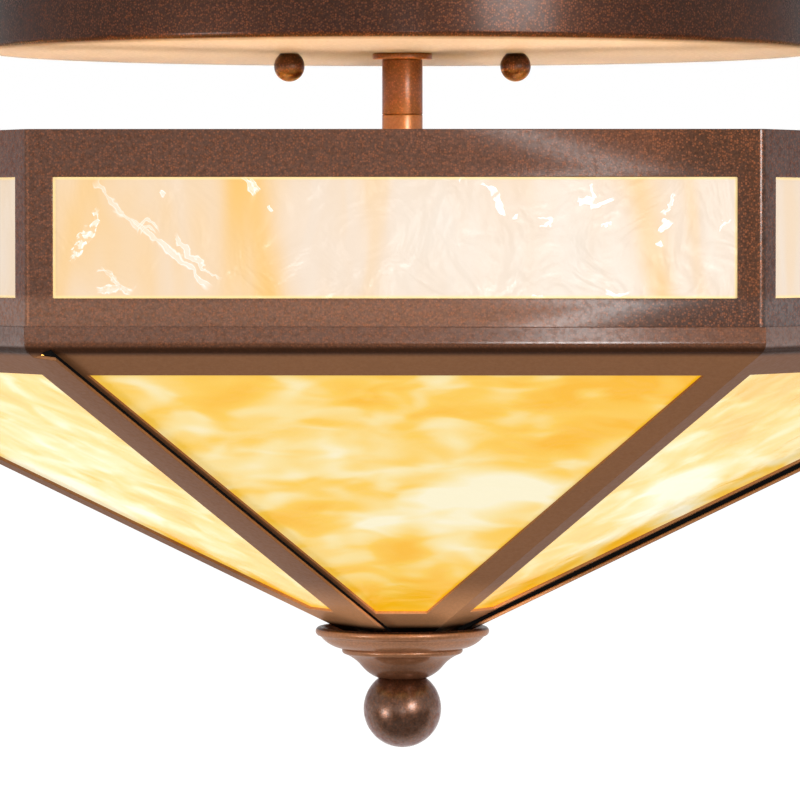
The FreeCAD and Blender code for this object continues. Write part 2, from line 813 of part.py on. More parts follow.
def make_panel(face, seam):
    """One side of the pan, mitred at its folds, with its window.

    seam is the end, low or high in angle, that is cut back under a neighbour's lap.
    """
    body = new_body(f"panel_{face}", turn=FACE_ANGLES[face] + 90)
    pad(body, new_sketch(body, "YZ_Plane", [panel_section()]), "2 * pan_apothem", midplane=True)
    far = "2 * pan_apothem"
    mitre = [
        ("0", "0"),
        (f"{far} * sin(30)", f"-{far} * cos(30)"),
        (far, f"-{far} * cos(30)"),
        (far, far),
        (f"-{far}", far),
        (f"-{far}", f"-{far} * cos(30)"),
        (f"-{far} * sin(30)", f"-{far} * cos(30)"),
    ]
    pocket(body, new_sketch(body, "XY_Plane", [mitre]))
    window = slope_outline("rib_strip", "slope_top - pan_top_rail",
                           "pan_window_foot / cos(pan_slope)")
    pocket(body, slope_sketch(body, window, "0"))
    if seam:
        side = "-" if seam == "low" else ""
        reach = "(seam_top_radius + seat_clearance)"
        strip = []
        for along, across in (("0", "seam_setback"), (reach, "seam_setback"),
                              (reach, "-seam_setback"), ("0", "-seam_setback")):
            strip.append((f"{side}({along} * sin(30) + ({across}) * cos(30))",
                          f"-{along} * cos(30) + ({across}) * sin(30)"))
        pocket(body, new_sketch(body, "XY_Plane", [strip]))
    return body


def ruled_along_rib(name, rib_angle, outlines):
    """Straight-sided solid along a rib, between an outline near the tip and one at the top."""
    body = new_body(name, turn=rib_angle)
    sections = []
    for reach, outline in zip(("seam_foot_radius", "seam_top_radius"), outlines):
        sections.append(new_sketch(body, "YZ_Plane", [outline], base={"z": reach}))
    loft = body.newObject("PartDesign::AdditiveLoft", f"{name}_loft")
    loft.Profile = sections[0]
    loft.Sections = [sections[1]]
    loft.Ruled = True
    return body


def make_lap(name, rib_angle, toward):
    """Edge of a sheet that runs on flat past a fold and stands off the neighbouring side."""
    outlines = []
    for reach in ("seam_foot_radius", "seam_top_radius"):
        rib = f"pan_apex + ({reach}) * rib_rise"
        edge = f"{rib} - seam_lap * rib_fall * lap_fall_share"
        outlines.append([
            ("0", rib),
            (f"{toward}seam_lap", edge),
            (f"{toward}seam_lap", f"{edge} + pan_wall / cos(pan_slope)"),
            ("0", f"{rib} + pan_wall / cos(pan_slope)"),
        ])
    return ruled_along_rib(name, rib_angle, outlines)


def make_seam_sealant():
    """Beads that close the wedges between the laps and the sides that they stand off."""
    inner = "seam_setback + sealant_inset"
    outer = "seam_lap - sealant_recess"
    beads = []
    for number, (rib_angle, toward) in enumerate(LAP_PLACES.values(), 1):
        outlines = []
        for reach in ("seam_foot_radius", "seam_top_radius"):
            rib = f"pan_apex + ({reach}) * rib_rise"
            lap = f"{rib} + pan_wall / cos(pan_slope) + seat_clearance"
            side = f"{rib} - seat_clearance"
            outlines.append([
                (f"{toward}({inner})", f"{lap} - ({inner}) * rib_fall * lap_fall_share"),
                (f"{toward}({outer})", f"{lap} - ({outer}) * rib_fall * lap_fall_share"),
                (f"{toward}({outer})", f"{side} + ({outer}) * rib_fall"),
                (f"{toward}({inner})", f"{side} + ({inner}) * rib_fall"),
            ])
        beads.append(ruled_along_rib(f"seam_sealant_{number}", rib_angle, outlines))
    return group("seam_sealant", beads)


def fuse(name, parts):
    """One solid made of parts that meet face to face."""
    joined = doc.addObject("Part::MultiFuse", name)
    joined.Label = name
    joined.Shapes = parts
    joined.Refine = True
    return joined


def make_pan():
    """Three sheets of two sides each. The front sheet's ends lie under the others' laps."""
    front = [make_panel("front", "low"), make_panel("right", "high")]
    laps = {name: make_lap(name, *place) for name, place in LAP_PLACES.items()}
    rear_right = [make_panel("back_right", None), make_panel("back", None),
                  laps["lap_right"], laps["lap_back"]]
    rear_left = [make_panel("back_left", "low"), make_panel("left", None),
                 laps["lap_left"]]
    return [fuse("pan_sheet_front", front), fuse("pan_sheet_right", rear_right),
            fuse("pan_sheet_left", rear_left), make_seam_sealant()]


def make_pan_glass(face):
    """Flat pane that lies on the inside of one side of the pan."""
    body = new_body(f"pan_glass_{face}", turn=FACE_ANGLES[face] + 90)
    outline = slope_outline("rib_strip - glass_lap", "slope_top - pan_top_rail + glass_lap",
                            "pan_window_foot / cos(pan_slope) - glass_lap",
                            shift="pan_wall * tan(pan_slope)")
    pad(body, slope_sketch(body, outline, "pan_wall"), "glass_wall", backward=True)
    return body


def make_pan_clips():
    """Two clips on each side's top rail and one at its foot."""
    body = new_body("pan_glass_clips")
    head = "slope_top - pan_top_rail + glass_lap"
    foot = "pan_window_foot / cos(pan_slope) - glass_lap"
    pads = []
    for edge, away, place in ((head, "+", "clip_inset"), (head, "+", "-clip_inset"),
                              (foot, "-", "0")):
        outline = clip_outline(edge, "-pan_wall", away, "-")
        sketch = new_sketch(body, "YZ_Plane", [outline], base={"y": "pan_apex", "z": place},
                            spin=(Vector(0, 0, 1), "180 - pan_slope"))
        pads.append(pad(body, sketch, "clip_width", midplane=True))
    pattern(body, pads, len(FACE_ANGLES))
    return body


# ---------------------------------------------------------------- finial


def make_cap():
    """Turned cap: a round-lipped brim that rises round the pan's tip, a bead and an ogee."""
    step_foot = "seat_foot + cap_step_top - cap_step_height"
    bead = "(cap_step_radius - cap_bead)"
    middle = (f"(cap_neck_radius + {bead}) / 2", f"(neck_foot + {step_foot}) / 2")
    bore = "rod_radius + thread_clearance"
    lip = "(cap_lip_wall / 2)"
    return turned("finial_cap", [
        (bore, "neck_foot"),
        ("cap_neck_radius", "neck_foot", "cap_ogee_radius", 1),
        (*middle, "cap_ogee_radius", -1),
        (bead, step_foot, "cap_step_height * 2 / 3", 1),
        ("cap_step_radius", "seat_foot + cap_step_top", "cap_brim_bow", 1),
        (f"cap_radius - {lip}", f"seat_foot + cap_brim_rise - {lip}", lip, 1),
        ("cap_radius", "seat_foot + cap_brim_rise", lip, 1),
        (f"cap_radius - {lip}", f"seat_foot + cap_brim_rise + {lip}", lip, 1),
        (f"cap_radius - 2 * {lip}", "seat_foot + cap_brim_rise", "cap_brim_bow", -1),
        ("cap_shelf_radius", "seat_foot + seat_wall + seat_clearance"),
        ("cap_shelf_radius", "seat_foot"),
        ("cap_shelf_radius - cap_shelf_width", "seat_foot"),
        (f"{bore} + cap_floor", "neck_foot + cap_floor"),
        (bore, "neck_foot + cap_floor"),
    ])


def make_finial():
    """Rod, nuts, plates, cap and ball that close the pan from below."""
    bore = "rod_radius + thread_clearance"
    nut = ("rod_nut_flats", "rod_nut_height")
    plate = ring_profile(bore, "base_plate_radius", "base_plate_foot", "base_plate_top")
    seat = ring_profile(bore, "cap_shelf_radius - hole_clearance", "seat_foot", "pan_tip")
    return [
        turned("finial_rod", ring_profile("0", "rod_radius", "rod_foot", "rod_top")),
        hex_nut("rod_nut", *nut, "cup_floor", bore),
        turned("base_plate", plate),
        hex_nut("base_nut", *nut, "base_plate_top", bore),
        turned("seat_washer", seat),
        make_cap(),
        turned_ball("finial_ball", "ball_radius", "cap_neck_radius", bore, "rod_grip",
                    "placement(vector(0; 0; neck_foot); rotation(0; 0; 0))"),
    ]


# ---------------------------------------------------------------- checks and files


def group(name, parts):
    """Like pieces kept together as one node."""
    joined = doc.addObject("Part::Compound", name)
    joined.Label = name
    joined.Links = parts
    return joined


def export(pieces):
    """Write each piece that is whole and valid to parts/NAME.step."""
    doc.recompute()
    failed = [item.Name for item in doc.Objects
              if "Invalid" in item.State or "Error" in item.State]
    if failed:
        raise RuntimeError(f"not computed: {failed}")
    os.makedirs("parts", exist_ok=True)
    for piece in pieces:
        shape = piece.Shape
        if shape.isNull() or not shape.isValid() or not shape.Solids:
            raise RuntimeError(f"{piece.Label} is not a valid solid")
        shape.exportStep(f"parts/{piece.Label}.step")
        print(f"{piece.Label}: {len(shape.Solids)} solids, {shape.Volume:.0f} mm3")


pieces = make_ceiling_plate() + make_stem() + [make_spider()] + make_cluster()
pieces += [make_band()] + [make_band_glass(face) for face in FACE_ANGLES] + [make_band_clips()]
pieces += make_pan() + [make_pan_glass(face) for face in FACE_ANGLES] + [make_pan_clips()]
pieces += make_finial()
export(pieces)
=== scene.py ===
"""Looks of a six-sided semi flush ceiling light with lit art glass and bronze powder coat."""
import json
import math

import bmesh
import bpy
import numpy as np
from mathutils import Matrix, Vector

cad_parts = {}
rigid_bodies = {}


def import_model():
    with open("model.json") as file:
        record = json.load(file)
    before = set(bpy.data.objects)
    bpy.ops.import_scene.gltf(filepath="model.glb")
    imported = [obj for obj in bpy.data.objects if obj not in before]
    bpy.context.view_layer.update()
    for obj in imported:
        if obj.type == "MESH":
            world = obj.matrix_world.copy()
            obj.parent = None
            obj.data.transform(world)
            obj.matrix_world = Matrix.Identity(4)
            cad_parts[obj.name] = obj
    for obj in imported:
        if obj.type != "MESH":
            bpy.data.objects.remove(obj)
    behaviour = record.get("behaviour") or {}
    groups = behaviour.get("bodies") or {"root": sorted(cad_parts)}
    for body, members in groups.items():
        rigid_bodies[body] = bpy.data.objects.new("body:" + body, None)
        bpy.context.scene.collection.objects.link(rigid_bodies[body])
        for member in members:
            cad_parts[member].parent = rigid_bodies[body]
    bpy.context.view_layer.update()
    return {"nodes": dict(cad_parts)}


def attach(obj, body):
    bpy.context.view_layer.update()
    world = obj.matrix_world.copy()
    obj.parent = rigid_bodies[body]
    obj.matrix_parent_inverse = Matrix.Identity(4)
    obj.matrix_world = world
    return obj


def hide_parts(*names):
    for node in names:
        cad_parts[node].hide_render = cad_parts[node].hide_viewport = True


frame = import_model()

# ---------------------------------------------------------------- camera

EYE = Vector((0.0255, -2.164, -0.1032))
PITCH = math.radians(1.72)
YAW = math.radians(0.70)
FOCAL_PIXELS = 5500.0
PICTURE_PIXELS = 800.0
SENSOR = 36.0
NEAREST, FARTHEST = 0.05, 200.0


def place_camera():
    """Long lens a little under the canopy, looking slightly down at the front side."""
    lens = bpy.data.cameras.new("camera")
    lens.sensor_width = SENSOR
    lens.lens = FOCAL_PIXELS / PICTURE_PIXELS * SENSOR
    lens.clip_start = NEAREST
    lens.clip_end = FARTHEST
    camera = bpy.data.objects.new("camera", lens)
    camera.location = EYE
    camera.rotation_euler = (math.pi / 2 - PITCH, 0.0, YAW)
    bpy.context.scene.collection.objects.link(camera)
    bpy.context.scene.camera = camera


# ---------------------------------------------------------------- node helpers


def linear(red, green, blue):
    """Linear colour of an sRGB colour given from 0 to 255."""
    shares = np.array([red, green, blue]) / 255.0
    curved = np.where(shares <= 0.04045, shares / 12.92, ((shares + 0.055) / 1.055) ** 2.4)
    return (*curved.tolist(), 1.0)


class Board:
    """Node tree with short calls that add a node, set it and wire it."""

    def __init__(self, tree):
        self.tree = tree

    def feed(self, node, inputs):
        """Wire or set inputs of a node, by their names or numbers."""
        for socket, value in inputs.items():
            if isinstance(value, bpy.types.NodeSocket):
                self.tree.links.new(value, node.inputs[socket])
            else:
                node.inputs[socket].default_value = value
        return node

    def add(self, kind, inputs=None, **settings):
        node = self.tree.nodes.new(kind)
        for name, value in settings.items():
            setattr(node, name, value)
        return self.feed(node, inputs or {})

    def add_group(self, group, inputs):
        return self.add("ShaderNodeGroup", inputs, node_tree=group).outputs

    def math(self, operation, first, second=0.0):
        return self.add("ShaderNodeMath", {0: first, 1: second},
                        operation=operation).outputs[0]

    def plus(self, first, second):
        return self.math("ADD", first, second)

    def minus(self, first, second):
        return self.math("SUBTRACT", first, second)

    def times(self, first, second):
        return self.math("MULTIPLY", first, second)

    def over(self, first, second):
        return self.math("DIVIDE", first, second)

    def noise(self, vector, scale, detail=2.0, roughness=0.5, distortion=0.0):
        return self.add("ShaderNodeTexNoise", {
            "Vector": vector, "Scale": scale, "Detail": detail, "Roughness": roughness,
            "Distortion": distortion}).outputs["Fac"]

    def span(self, value, low, high, to_low=0.0, to_high=1.0, smooth=True):
        """Value from low to high brought to a new span, with a soft start and end."""
        return self.add("ShaderNodeMapRange", {
            "Value": value, "From Min": low, "From Max": high,
            "To Min": to_low, "To Max": to_high},
            interpolation_type="SMOOTHSTEP" if smooth else "LINEAR").outputs["Result"]

    def between(self, mask, low, high):
        """Value that goes from low, where the mask is 0, to high, where it is 1."""
        return self.span(mask, 0.0, 1.0, low, high)

    def mix(self, share, first, second, blend="MIX"):
        return self.add("ShaderNodeMix", {0: share, 6: first, 7: second},
                        data_type="RGBA", blend_type=blend, clamp_factor=True).outputs[2]

    def axes(self, vector):
        return self.add("ShaderNodeSeparateXYZ", {0: vector}).outputs

    def stretch(self, vector, scale=(1.0, 1.0, 1.0), turn=(0.0, 0.0, 0.0),
                shift=(0.0, 0.0, 0.0)):
        return self.add("ShaderNodeMapping", {
            "Vector": vector, "Scale": scale, "Rotation": turn,
            "Location": shift}).outputs["Vector"]

    def bump(self, height, distance, strength=1.0):
        return self.add("ShaderNodeBump", {"Strength": strength, "Distance": distance,
                                           "Height": height}).outputs["Normal"]

    def place_on_piece(self):
        return self.add("ShaderNodeTexCoord").outputs["Object"]


def new_group(name, inputs, outputs):
    """Shader node group with named sockets: its board, what comes in and its end node."""
    tree = bpy.data.node_groups.new(name, "ShaderNodeTree")
    for direction, sockets in (("INPUT", inputs), ("OUTPUT", outputs)):
        for label, kind in sockets.items():
            tree.interface.new_socket(label, in_out=direction,
                                      socket_type=f"NodeSocket{kind}")
    return Board(tree), tree.nodes.new("NodeGroupInput").outputs, tree.nodes.new(
        "NodeGroupOutput")


def new_material(name, **plain):
    """Material with one Principled shader, its plain values set, and its board."""
    material = bpy.data.materials.new(name)
    material.use_nodes = True
    shader = material.node_tree.nodes["Principled BSDF"]
    for socket, value in plain.items():
        shader.inputs[socket.replace("_", " ")].default_value = value
    return material, Board(material.node_tree), shader


def wire(board, outputs, shader, pairs):
    """Link a group's outputs to the shader's sockets of the given names."""
    board.feed(shader, {target: outputs[source] for source, target in pairs.items()})


# ---------------------------------------------------------------- turned pieces

MM = 0.001

# Radii and heights of the solids in millimetres, where more than one turned piece uses them
STUD_SIDE, STUD, STUD_HOLE = 44.45, 2.08, 2.13
PIPE_BORE, PIPE, PIPE_HOLE = 3.5, 5.15, 5.2
PIPE_PITCH, PIPE_GROOVE = 0.94, 0.45
ROD, ROD_HOLE = 3.175, 3.225
TUBE_BORE, TUBE = 6.75, 7.95
CANOPY_FOOT, CANOPY_INSIDE, COLLAR_FOOT = -32, -30.8, -34.4
COVER, COVER_TOP, COVER_FOOT = 30, -86.5, -88.5
CUP_BOSS, CUP_FLOOR, CUP_FOOT = 8.5, -110.897, -113.025
SEAT, NECK, NECK_RADIUS = -266.891, -277.691, 9.4
LAMP_ANGLES = (-60, 60, 180)


def outline(steps, closed=True, ease=0.25):
    """Rows of (radius, height) along an outline, in millimetres.

    A step is a corner (r, z), eased by a parabola that leaves it ease before and after, or
    (r, z, radius, side), from which an arc of that radius runs to the next step, its centre
    to the left of the way there (side 1) or to the right (side -1).
    """
    spots = np.array([step[:2] for step in steps], dtype=float)
    rows = []
    for index, step in enumerate(steps):
        here, after = spots[index], spots[(index + 1) % len(steps)]
        back, on = spots[index - 1] - here, after - here
        if len(step) == 4:
            radius, side = step[2:]
            half = np.hypot(*on) / 2
            across = np.array([-on[1], on[0]]) / (2 * half)
            centre = here + on / 2 + across * side * math.sqrt(max(radius ** 2 - half ** 2, 0))
            first = math.atan2(*(here - centre)[::-1])
            sweep = (math.atan2(*(after - centre)[::-1]) - first + math.pi) % (2 * math.pi)
            sweep -= math.pi
            count = max(3, math.ceil(abs(sweep) / math.radians(6)))
            angle = first + sweep * np.arange(count)[:, None] / count
            rows.append(centre + radius * np.hstack([np.cos(angle), np.sin(angle)]))
        elif len(steps[index - 1]) == 4 or (not closed and index in (0, len(steps) - 1)):
            rows.append(here[None, :])
        else:
            back_length, on_length = np.hypot(*back), np.hypot(*on)
            reach = min(ease, 0.4 * back_length, 0.4 * on_length)
            share = np.linspace(0, 1, 4)[:, None]
            rows.append((1 - share) ** 2 * (here + back / back_length * reach)
                        + 2 * share * (1 - share) * here
                        + share ** 2 * (here + on / on_length * reach))
    return np.concatenate(rows)


def ring(inner, outer, low, high, ease=0.25):
    """Outline of a plain ring or tube with eased corners."""
    return outline([(inner, low), (outer, low), (outer, high), (inner, high)], ease=ease)


def revolve(rows, spokes=96, rule=None, place=None):
    """Grid of points: each row goes round Z at its radius, or at rule(radius, height, turn)."""
    turn = np.linspace(0, 2 * np.pi, spokes, endpoint=False)[None, :]
    height = rows[:, 1:] + 0 * turn
    radius = rows[:, :1] + 0 * turn
    if rule:
        radius = rule(radius, height, turn)
    points = np.stack([radius * np.cos(turn), radius * np.sin(turn), height], axis=-1) * MM
    if place:
        turned, moved = place
        points = points @ turned.T + moved
    return points


def grid_faces(rows, columns, closed):
    """Corner numbers of the four-sided faces of a grid that closes round its columns."""
    row, column = np.meshgrid(np.arange(rows if closed else rows - 1), np.arange(columns),
                              indexing="ij")
    below, beside = (row + 1) % rows, (column + 1) % columns
    return np.stack([row * columns + column, below * columns + column,
                     below * columns + beside, row * columns + beside], axis=-1).reshape(-1, 4)


def grid_mesh(name, grids, closed):
    """Mesh of one or more turned grids, each closed along its rows or by its two poles."""
    mesh = bpy.data.meshes.new(name)
    points, faces, used = [], [], 0
    for grid in grids:
        rows, columns = grid.shape[:2]
        points.append(grid.reshape(-1, 3))
        faces.append(grid_faces(rows, columns, closed) + used)
        used += rows * columns
    mesh.from_pydata(np.concatenate(points).tolist(), [], np.concatenate(faces).tolist())
    return mesh


def finish_mesh(work, mesh, crease):
    """Close seams and poles, turn the faces outward and shade smooth up to the crease."""
    bmesh.ops.remove_doubles(work, verts=work.verts, dist=2e-7)
    bmesh.ops.recalc_face_normals(work, faces=work.faces)
    work.to_mesh(mesh)
    work.free()
    mesh.polygons.foreach_set("use_smooth", np.ones(len(mesh.polygons), dtype=bool))
    mesh.set_sharp_from_angle(angle=math.radians(crease))


def dress(mesh, material):
    mesh.materials.clear()
    mesh.materials.append(material)


def put_in_place(mesh, node, body, material):
    """Object that stands for a node, rides its body and takes its finish."""
    piece = bpy.data.objects.new(mesh.name, mesh)
    bpy.context.scene.collection.objects.link(piece)
    dress(mesh, material)
    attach(piece, body)
    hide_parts(node)
    return piece


def turned_piece(node, grids, material, body="fixture", closed=True, crease=38):
    """Turned piece that stands for a node, made of one or more grids."""
    mesh = grid_mesh(f"turned_{node}", grids, closed)
    work = bmesh.new()
    work.from_mesh(mesh)
    finish_mesh(work, mesh, crease)
    put_in_place(mesh, node, body, material)


def threaded(pitch, depth, low, high, round_root=False):
    """Rule for a screw thread on the widest rows: a wave along the helix, faded at its ends."""
    def rule(radius, height, turn):
        phase = height / pitch - turn / (2 * np.pi)
        wave = np.abs(2 * (phase - np.floor(phase)) - 1)
        if round_root:
            wave = 0.5 - 0.5 * np.cos(np.pi * wave)
        fade = np.clip(np.minimum(height - low, high - height) / pitch, 0, 1)
        return radius - depth * wave * fade * (radius > radius.max() - 1e-6)
    return rule


def threaded_rows(inner, outer, low, high, pitch, lead=0.5):
    """Rod or pipe wall with rows close enough for its thread, and chamfered ends."""
    heights = np.arange(low + lead, high - lead, pitch / 6)
    wall = np.stack([np.full_like(heights, outer), heights], axis=1)
    return np.concatenate([[(inner, low), (outer - lead, low)], wall,
                           [(outer - lead, high), (inner, high)]])


def hexagonal(flats):
    """Rule for a nut: the radius is cut to the hexagon's, which is least in mid flat."""
    def rule(radius, height, turn):
        flat = flats / 2 / np.cos(turn % (np.pi / 3) - np.pi / 6)
        return np.minimum(radius, flat)
    return rule


def nut_grid(flats, height, foot, bore, spot=(0.0, 0.0)):
    """Hexagon nut with both its faces chamfered to a circle, about 30 degrees."""
    corner = flats / math.sqrt(3)
    land = flats * 0.48
    drop = (corner - land) * math.tan(math.radians(30))
    rows = np.array([(bore, foot), (land, foot), (corner, foot + drop),
                     (corner, foot + height - drop), (land, foot + height),
                     (bore, foot + height)])
    dense = np.concatenate([np.linspace(first, last, 8, endpoint=False) for first, last
                            in zip(rows, np.roll(rows, -1, axis=0))])
    return revolve(dense, 96, hexagonal(flats)) + np.array([*spot, 0.0]) * MM


def ball_outline(radius, neck, bore, depth, ease):
    """Half outline of a ball under a flat neck, with a blind bore that deep from above."""
    top = -0.05
    drop = math.sqrt(radius ** 2 - neck ** 2)
    return outline([(0, -depth), (bore, -depth), (bore, top), (neck, top, radius, -1),
                    (radius, top - drop, radius, -1), (0, top - drop - radius)], False, ease)


def lamp_place(angle):
    """Turn and place that take a socket's own axis, from its back, to its place."""
    lean, turn = math.radians(160), math.radians(angle)
    tilt = np.array([[math.cos(lean), 0, math.sin(lean)], [0, 1, 0],
                     [-math.sin(lean), 0, math.cos(lean)]])
    spin = np.array([[math.cos(turn), -math.sin(turn), 0],
                     [math.sin(turn), math.cos(turn), 0], [0, 0, 1]])
    back = np.array([24.394 * math.cos(turn), 24.394 * math.sin(turn), -114.69]) * MM
    return spin @ tilt, back


def turn_ceiling_plate(bronzes, zinc):
    """Canopy, ball nuts, studs and their nuts."""
    wide, wall, bend = 165, 163.8, 3
    canopy = outline([
        (5.45, CANOPY_FOOT), (wide - bend, CANOPY_FOOT, bend, 1), (wide, CANOPY_FOOT + bend),
        (wide, -0.6), (164.4, 0), (wall, -0.6), (wall, CANOPY_FOOT + bend, 1.8, -1),
        (wide - bend, CANOPY_INSIDE), (5.45, CANOPY_INSIDE)], ease=0.3)
    turned_piece("canopy", [revolve(canopy, 288)], bronzes["canopy"])
    studs, nuts = [], []
    for side, name in ((-STUD_SIDE, "ball_nut_left"), (STUD_SIDE, "ball_nut_right")):
        beside = np.array([side, 0.0, 0.0]) * MM
        ball = revolve(ball_outline(6.0, 3.4, STUD_HOLE, 9.3, 0.15), 96)
        turned_piece(name, [ball + beside + np.array([0, 0, CANOPY_FOOT * MM])],
                     bronzes["nut"], body=name, closed=False)
        studs.append(revolve(threaded_rows(0, STUD, -40.5, 0, 0.79, 0.35), 40,
                             threaded(0.79, 0.34, -40.2, -0.3)) + beside)
        nuts.append(nut_grid(8.7, 2.8, -4.8, STUD_HOLE, (side, 0.0)))
    turned_piece("canopy_studs", studs, zinc, closed=False, crease=80)
    turned_piece("stud_nuts", nuts, zinc, crease=28)


def turn_stem(bronzes, zinc):
    """Threaded pipe, collar, tubes, washer and nuts, from the canopy down."""
    pipe = revolve(threaded_rows(PIPE_BORE, PIPE, -95.5, -22.3, PIPE_PITCH), 64,
                   threaded(PIPE_PITCH, PIPE_GROOVE, -95.2, -22.6))
    turned_piece("hanger_pipe", [pipe], zinc, crease=80)
    turned_piece("canopy_washer", [revolve(ring(PIPE_HOLE, 12, CANOPY_INSIDE, -29.3))], zinc)
    for node, foot in (("canopy_nut", -29.3), ("cluster_nut", -93)):
        turned_piece(node, [nut_grid(14.3, 4.5, foot, PIPE_HOLE)], zinc, crease=28)
    turned_piece("canopy_collar", [revolve(ring(PIPE_HOLE, 11.65, COLLAR_FOOT, CANOPY_FOOT,
                                                0.5))], bronzes["stem"])
    for node, top, foot, finish in (("stem_tube", COLLAR_FOOT, -56, "stem"),
                                    ("stem_coupling", -56, -67.5, "coupling"),
                                    ("stem_spacer", -70.5, COVER_TOP, "stem")):
        turned_piece(node, [revolve(ring(TUBE_BORE, TUBE, foot, top, 0.45))], bronzes[finish])


def turn_lamps(bronzes, zinc, brass, plastic, cap, frost):
    """Cluster cup and cover, and three sockets with shells, contacts, nipples and bulbs."""
    cup = outline([(ROD_HOLE, CUP_FOOT), (CUP_BOSS, CUP_FOOT), (COVER, -105.2),
                   (COVER, COVER_FOOT), (28, COVER_FOOT), (28, -103.8),
                   (CUP_BOSS, CUP_FLOOR), (ROD_HOLE, CUP_FLOOR)], ease=0.5)
    turned_piece("cluster_body", [revolve(cup)], bronzes["inner"])
    turned_piece("cluster_cover", [revolve(ring(PIPE_HOLE, COVER, COVER_FOOT, COVER_TOP, 0.5))],
                 bronzes["inner"])
    nipples, contacts = [], []
    globe, inner, heart, shoulder = 30.0, 29.2, 85.7, math.radians(64)
    for number, angle in enumerate(LAMP_ANGLES, start=1):
        place, bulb = lamp_place(angle), f"bulb_{number}"
        socket = outline([(5.2, 0), (14.1, 0, 2, 1), (16.1, 2), (16.1, 45), (14.1, 45),
                          (14.1, 4), (5.2, 4)], ease=0.4)
        turned_piece(f"socket_{number}", [revolve(socket, place=place)], plastic)
        shell = outline([(0, 4), (13.8, 4), (13.8, 34), (13.3, 34), (13.3, 4.5), (0, 4.5)],
                        False, 0.15)
        turned_piece(f"socket_shell_{number}", [revolve(shell, place=place)], brass,
                     closed=False)
        nipples.append(revolve(threaded_rows(PIPE_BORE, PIPE, -12, 4, PIPE_PITCH), 48,
                               threaded(PIPE_PITCH, PIPE_GROOVE, -11.7, 3.7), place))
        contacts.append(revolve(outline([(0, 4.5), (4, 4.5), (4, 7.7), (0, 7.7)], False,
                                        0.4), 48, place=place))
        heights = np.arange(10.4, 32.1, 3.63 / 12)
        base = np.concatenate([[(0, 7.75), (4.4, 7.75), (4.8, 7.95), (13.0, 10.2)],
                               np.stack([np.full_like(heights, 13.2), heights], axis=1),
                               [(13.1, 32.2), (0, 32.2)]])
        turned_piece(f"bulb_base_{number}", [revolve(
            base, 96, threaded(3.63, 0.9, 12, 29, True), place)], cap, bulb, closed=False)
        glass = outline([
            (13.2, 32.2), (13.7, 45.2),
            (globe * math.sin(shoulder), heart - globe * math.cos(shoulder), globe, 1),
            (globe, heart, globe, 1), (0, heart + globe), (0, heart + inner, inner, -1),
            (inner, heart, inner, -1),
            (inner * math.sin(shoulder), heart - inner * math.cos(shoulder)),
            (12.9, 45.2), (12.4, 32.2)], ease=6)
        turned_piece(f"bulb_glass_{number}", [revolve(glass, place=place)], frost, bulb)
    turned_piece("socket_nipples", nipples, zinc, crease=80)
    turned_piece("socket_contacts", contacts, brass, closed=False)


def turn_finial(bronzes, zinc):
    """Rod, nuts and plates, and the turned cap and ball that close the pan."""
    rod = revolve(threaded_rows(0, ROD, -289.691, -103.397, 1.27), 40,
                  threaded(1.27, 0.5, -289.4, -103.7))
    turned_piece("finial_rod", [rod], zinc, closed=False, crease=80)
    for node, foot in (("rod_nut", CUP_FLOOR), ("base_nut", -255.71)):
        turned_piece(node, [nut_grid(11.1, 5.5, foot, ROD_HOLE)], zinc, crease=28)
    turned_piece("base_plate", [revolve(ring(ROD_HOLE, 20, -257.71, -255.71, 0.4))], zinc)
    turned_piece("seat_washer", [revolve(ring(ROD_HOLE, 21.3, SEAT, SEAT + 2, 0.4))], zinc)
    bead, step, lip = 22.8, SEAT + 0.9 - 2.1, 1.8
    brim, rise, bow = 34.2, SEAT + 7.7, 13
    cap = outline([
        (ROD_HOLE, NECK), (NECK_RADIUS, NECK, 15, 1),
        ((NECK_RADIUS + bead) / 2, (NECK + step) / 2, 15, -1), (bead, step, 1.4, 1),
        (23.6, SEAT + 0.9, bow, 1), (brim - lip, rise - lip, lip, 1), (brim, rise, lip, 1),
        (brim - lip, rise + lip, lip, 1), (brim - 2 * lip, rise, bow, -1),
        (21.6, SEAT + 2.05), (21.6, SEAT), (17, SEAT), (5.625, NECK + 2.4),
        (ROD_HOLE, NECK + 2.4)], ease=0.2)
    turned_piece("finial_cap", [revolve(cap, 160)], bronzes["cap"], crease=50)
    ball = revolve(ball_outline(15.3, NECK_RADIUS, ROD_HOLE, 12.8, 0.2), 160)
    turned_piece("finial_ball", [ball + np.array([0, 0, NECK * MM])], bronzes["ball"],
                 body="finial_ball", closed=False)


# ---------------------------------------------------------------- sheet metal

# Metres from the axis beyond which a bead is drawn out, and how far out and up it goes
SEAM_TOP = 0.24
SEAM_REACH = 0.00118
SEAM_LIFT = 0.0006


def joined_copy(node):
    """Copy of a node's mesh with its loose triangles joined and its flats made whole."""
    work = bmesh.new()
    work.from_mesh(frame["nodes"][node].data)
    bmesh.ops.remove_doubles(work, verts=work.verts, dist=2e-6)
    bmesh.ops.dissolve_limit(work, angle_limit=math.radians(0.3), verts=work.verts,
                             edges=work.edges, use_dissolve_boundaries=False,
                             delimit={"NORMAL"})
    return work


def eased_piece(node, width, material):
    """Copy of a node with its sharp edges broken by a small bevel."""
    mesh = bpy.data.meshes.new(f"eased_{node}")
    finish_mesh(joined_copy(node), mesh, 30)
    edge = put_in_place(mesh, node, "fixture", material).modifiers.new("broken_edges", "BEVEL")
    edge.width = width * MM
    edge.segments = 2
    edge.limit_method = "ANGLE"
    edge.angle_limit = math.radians(40)
    edge.harden_normals = True


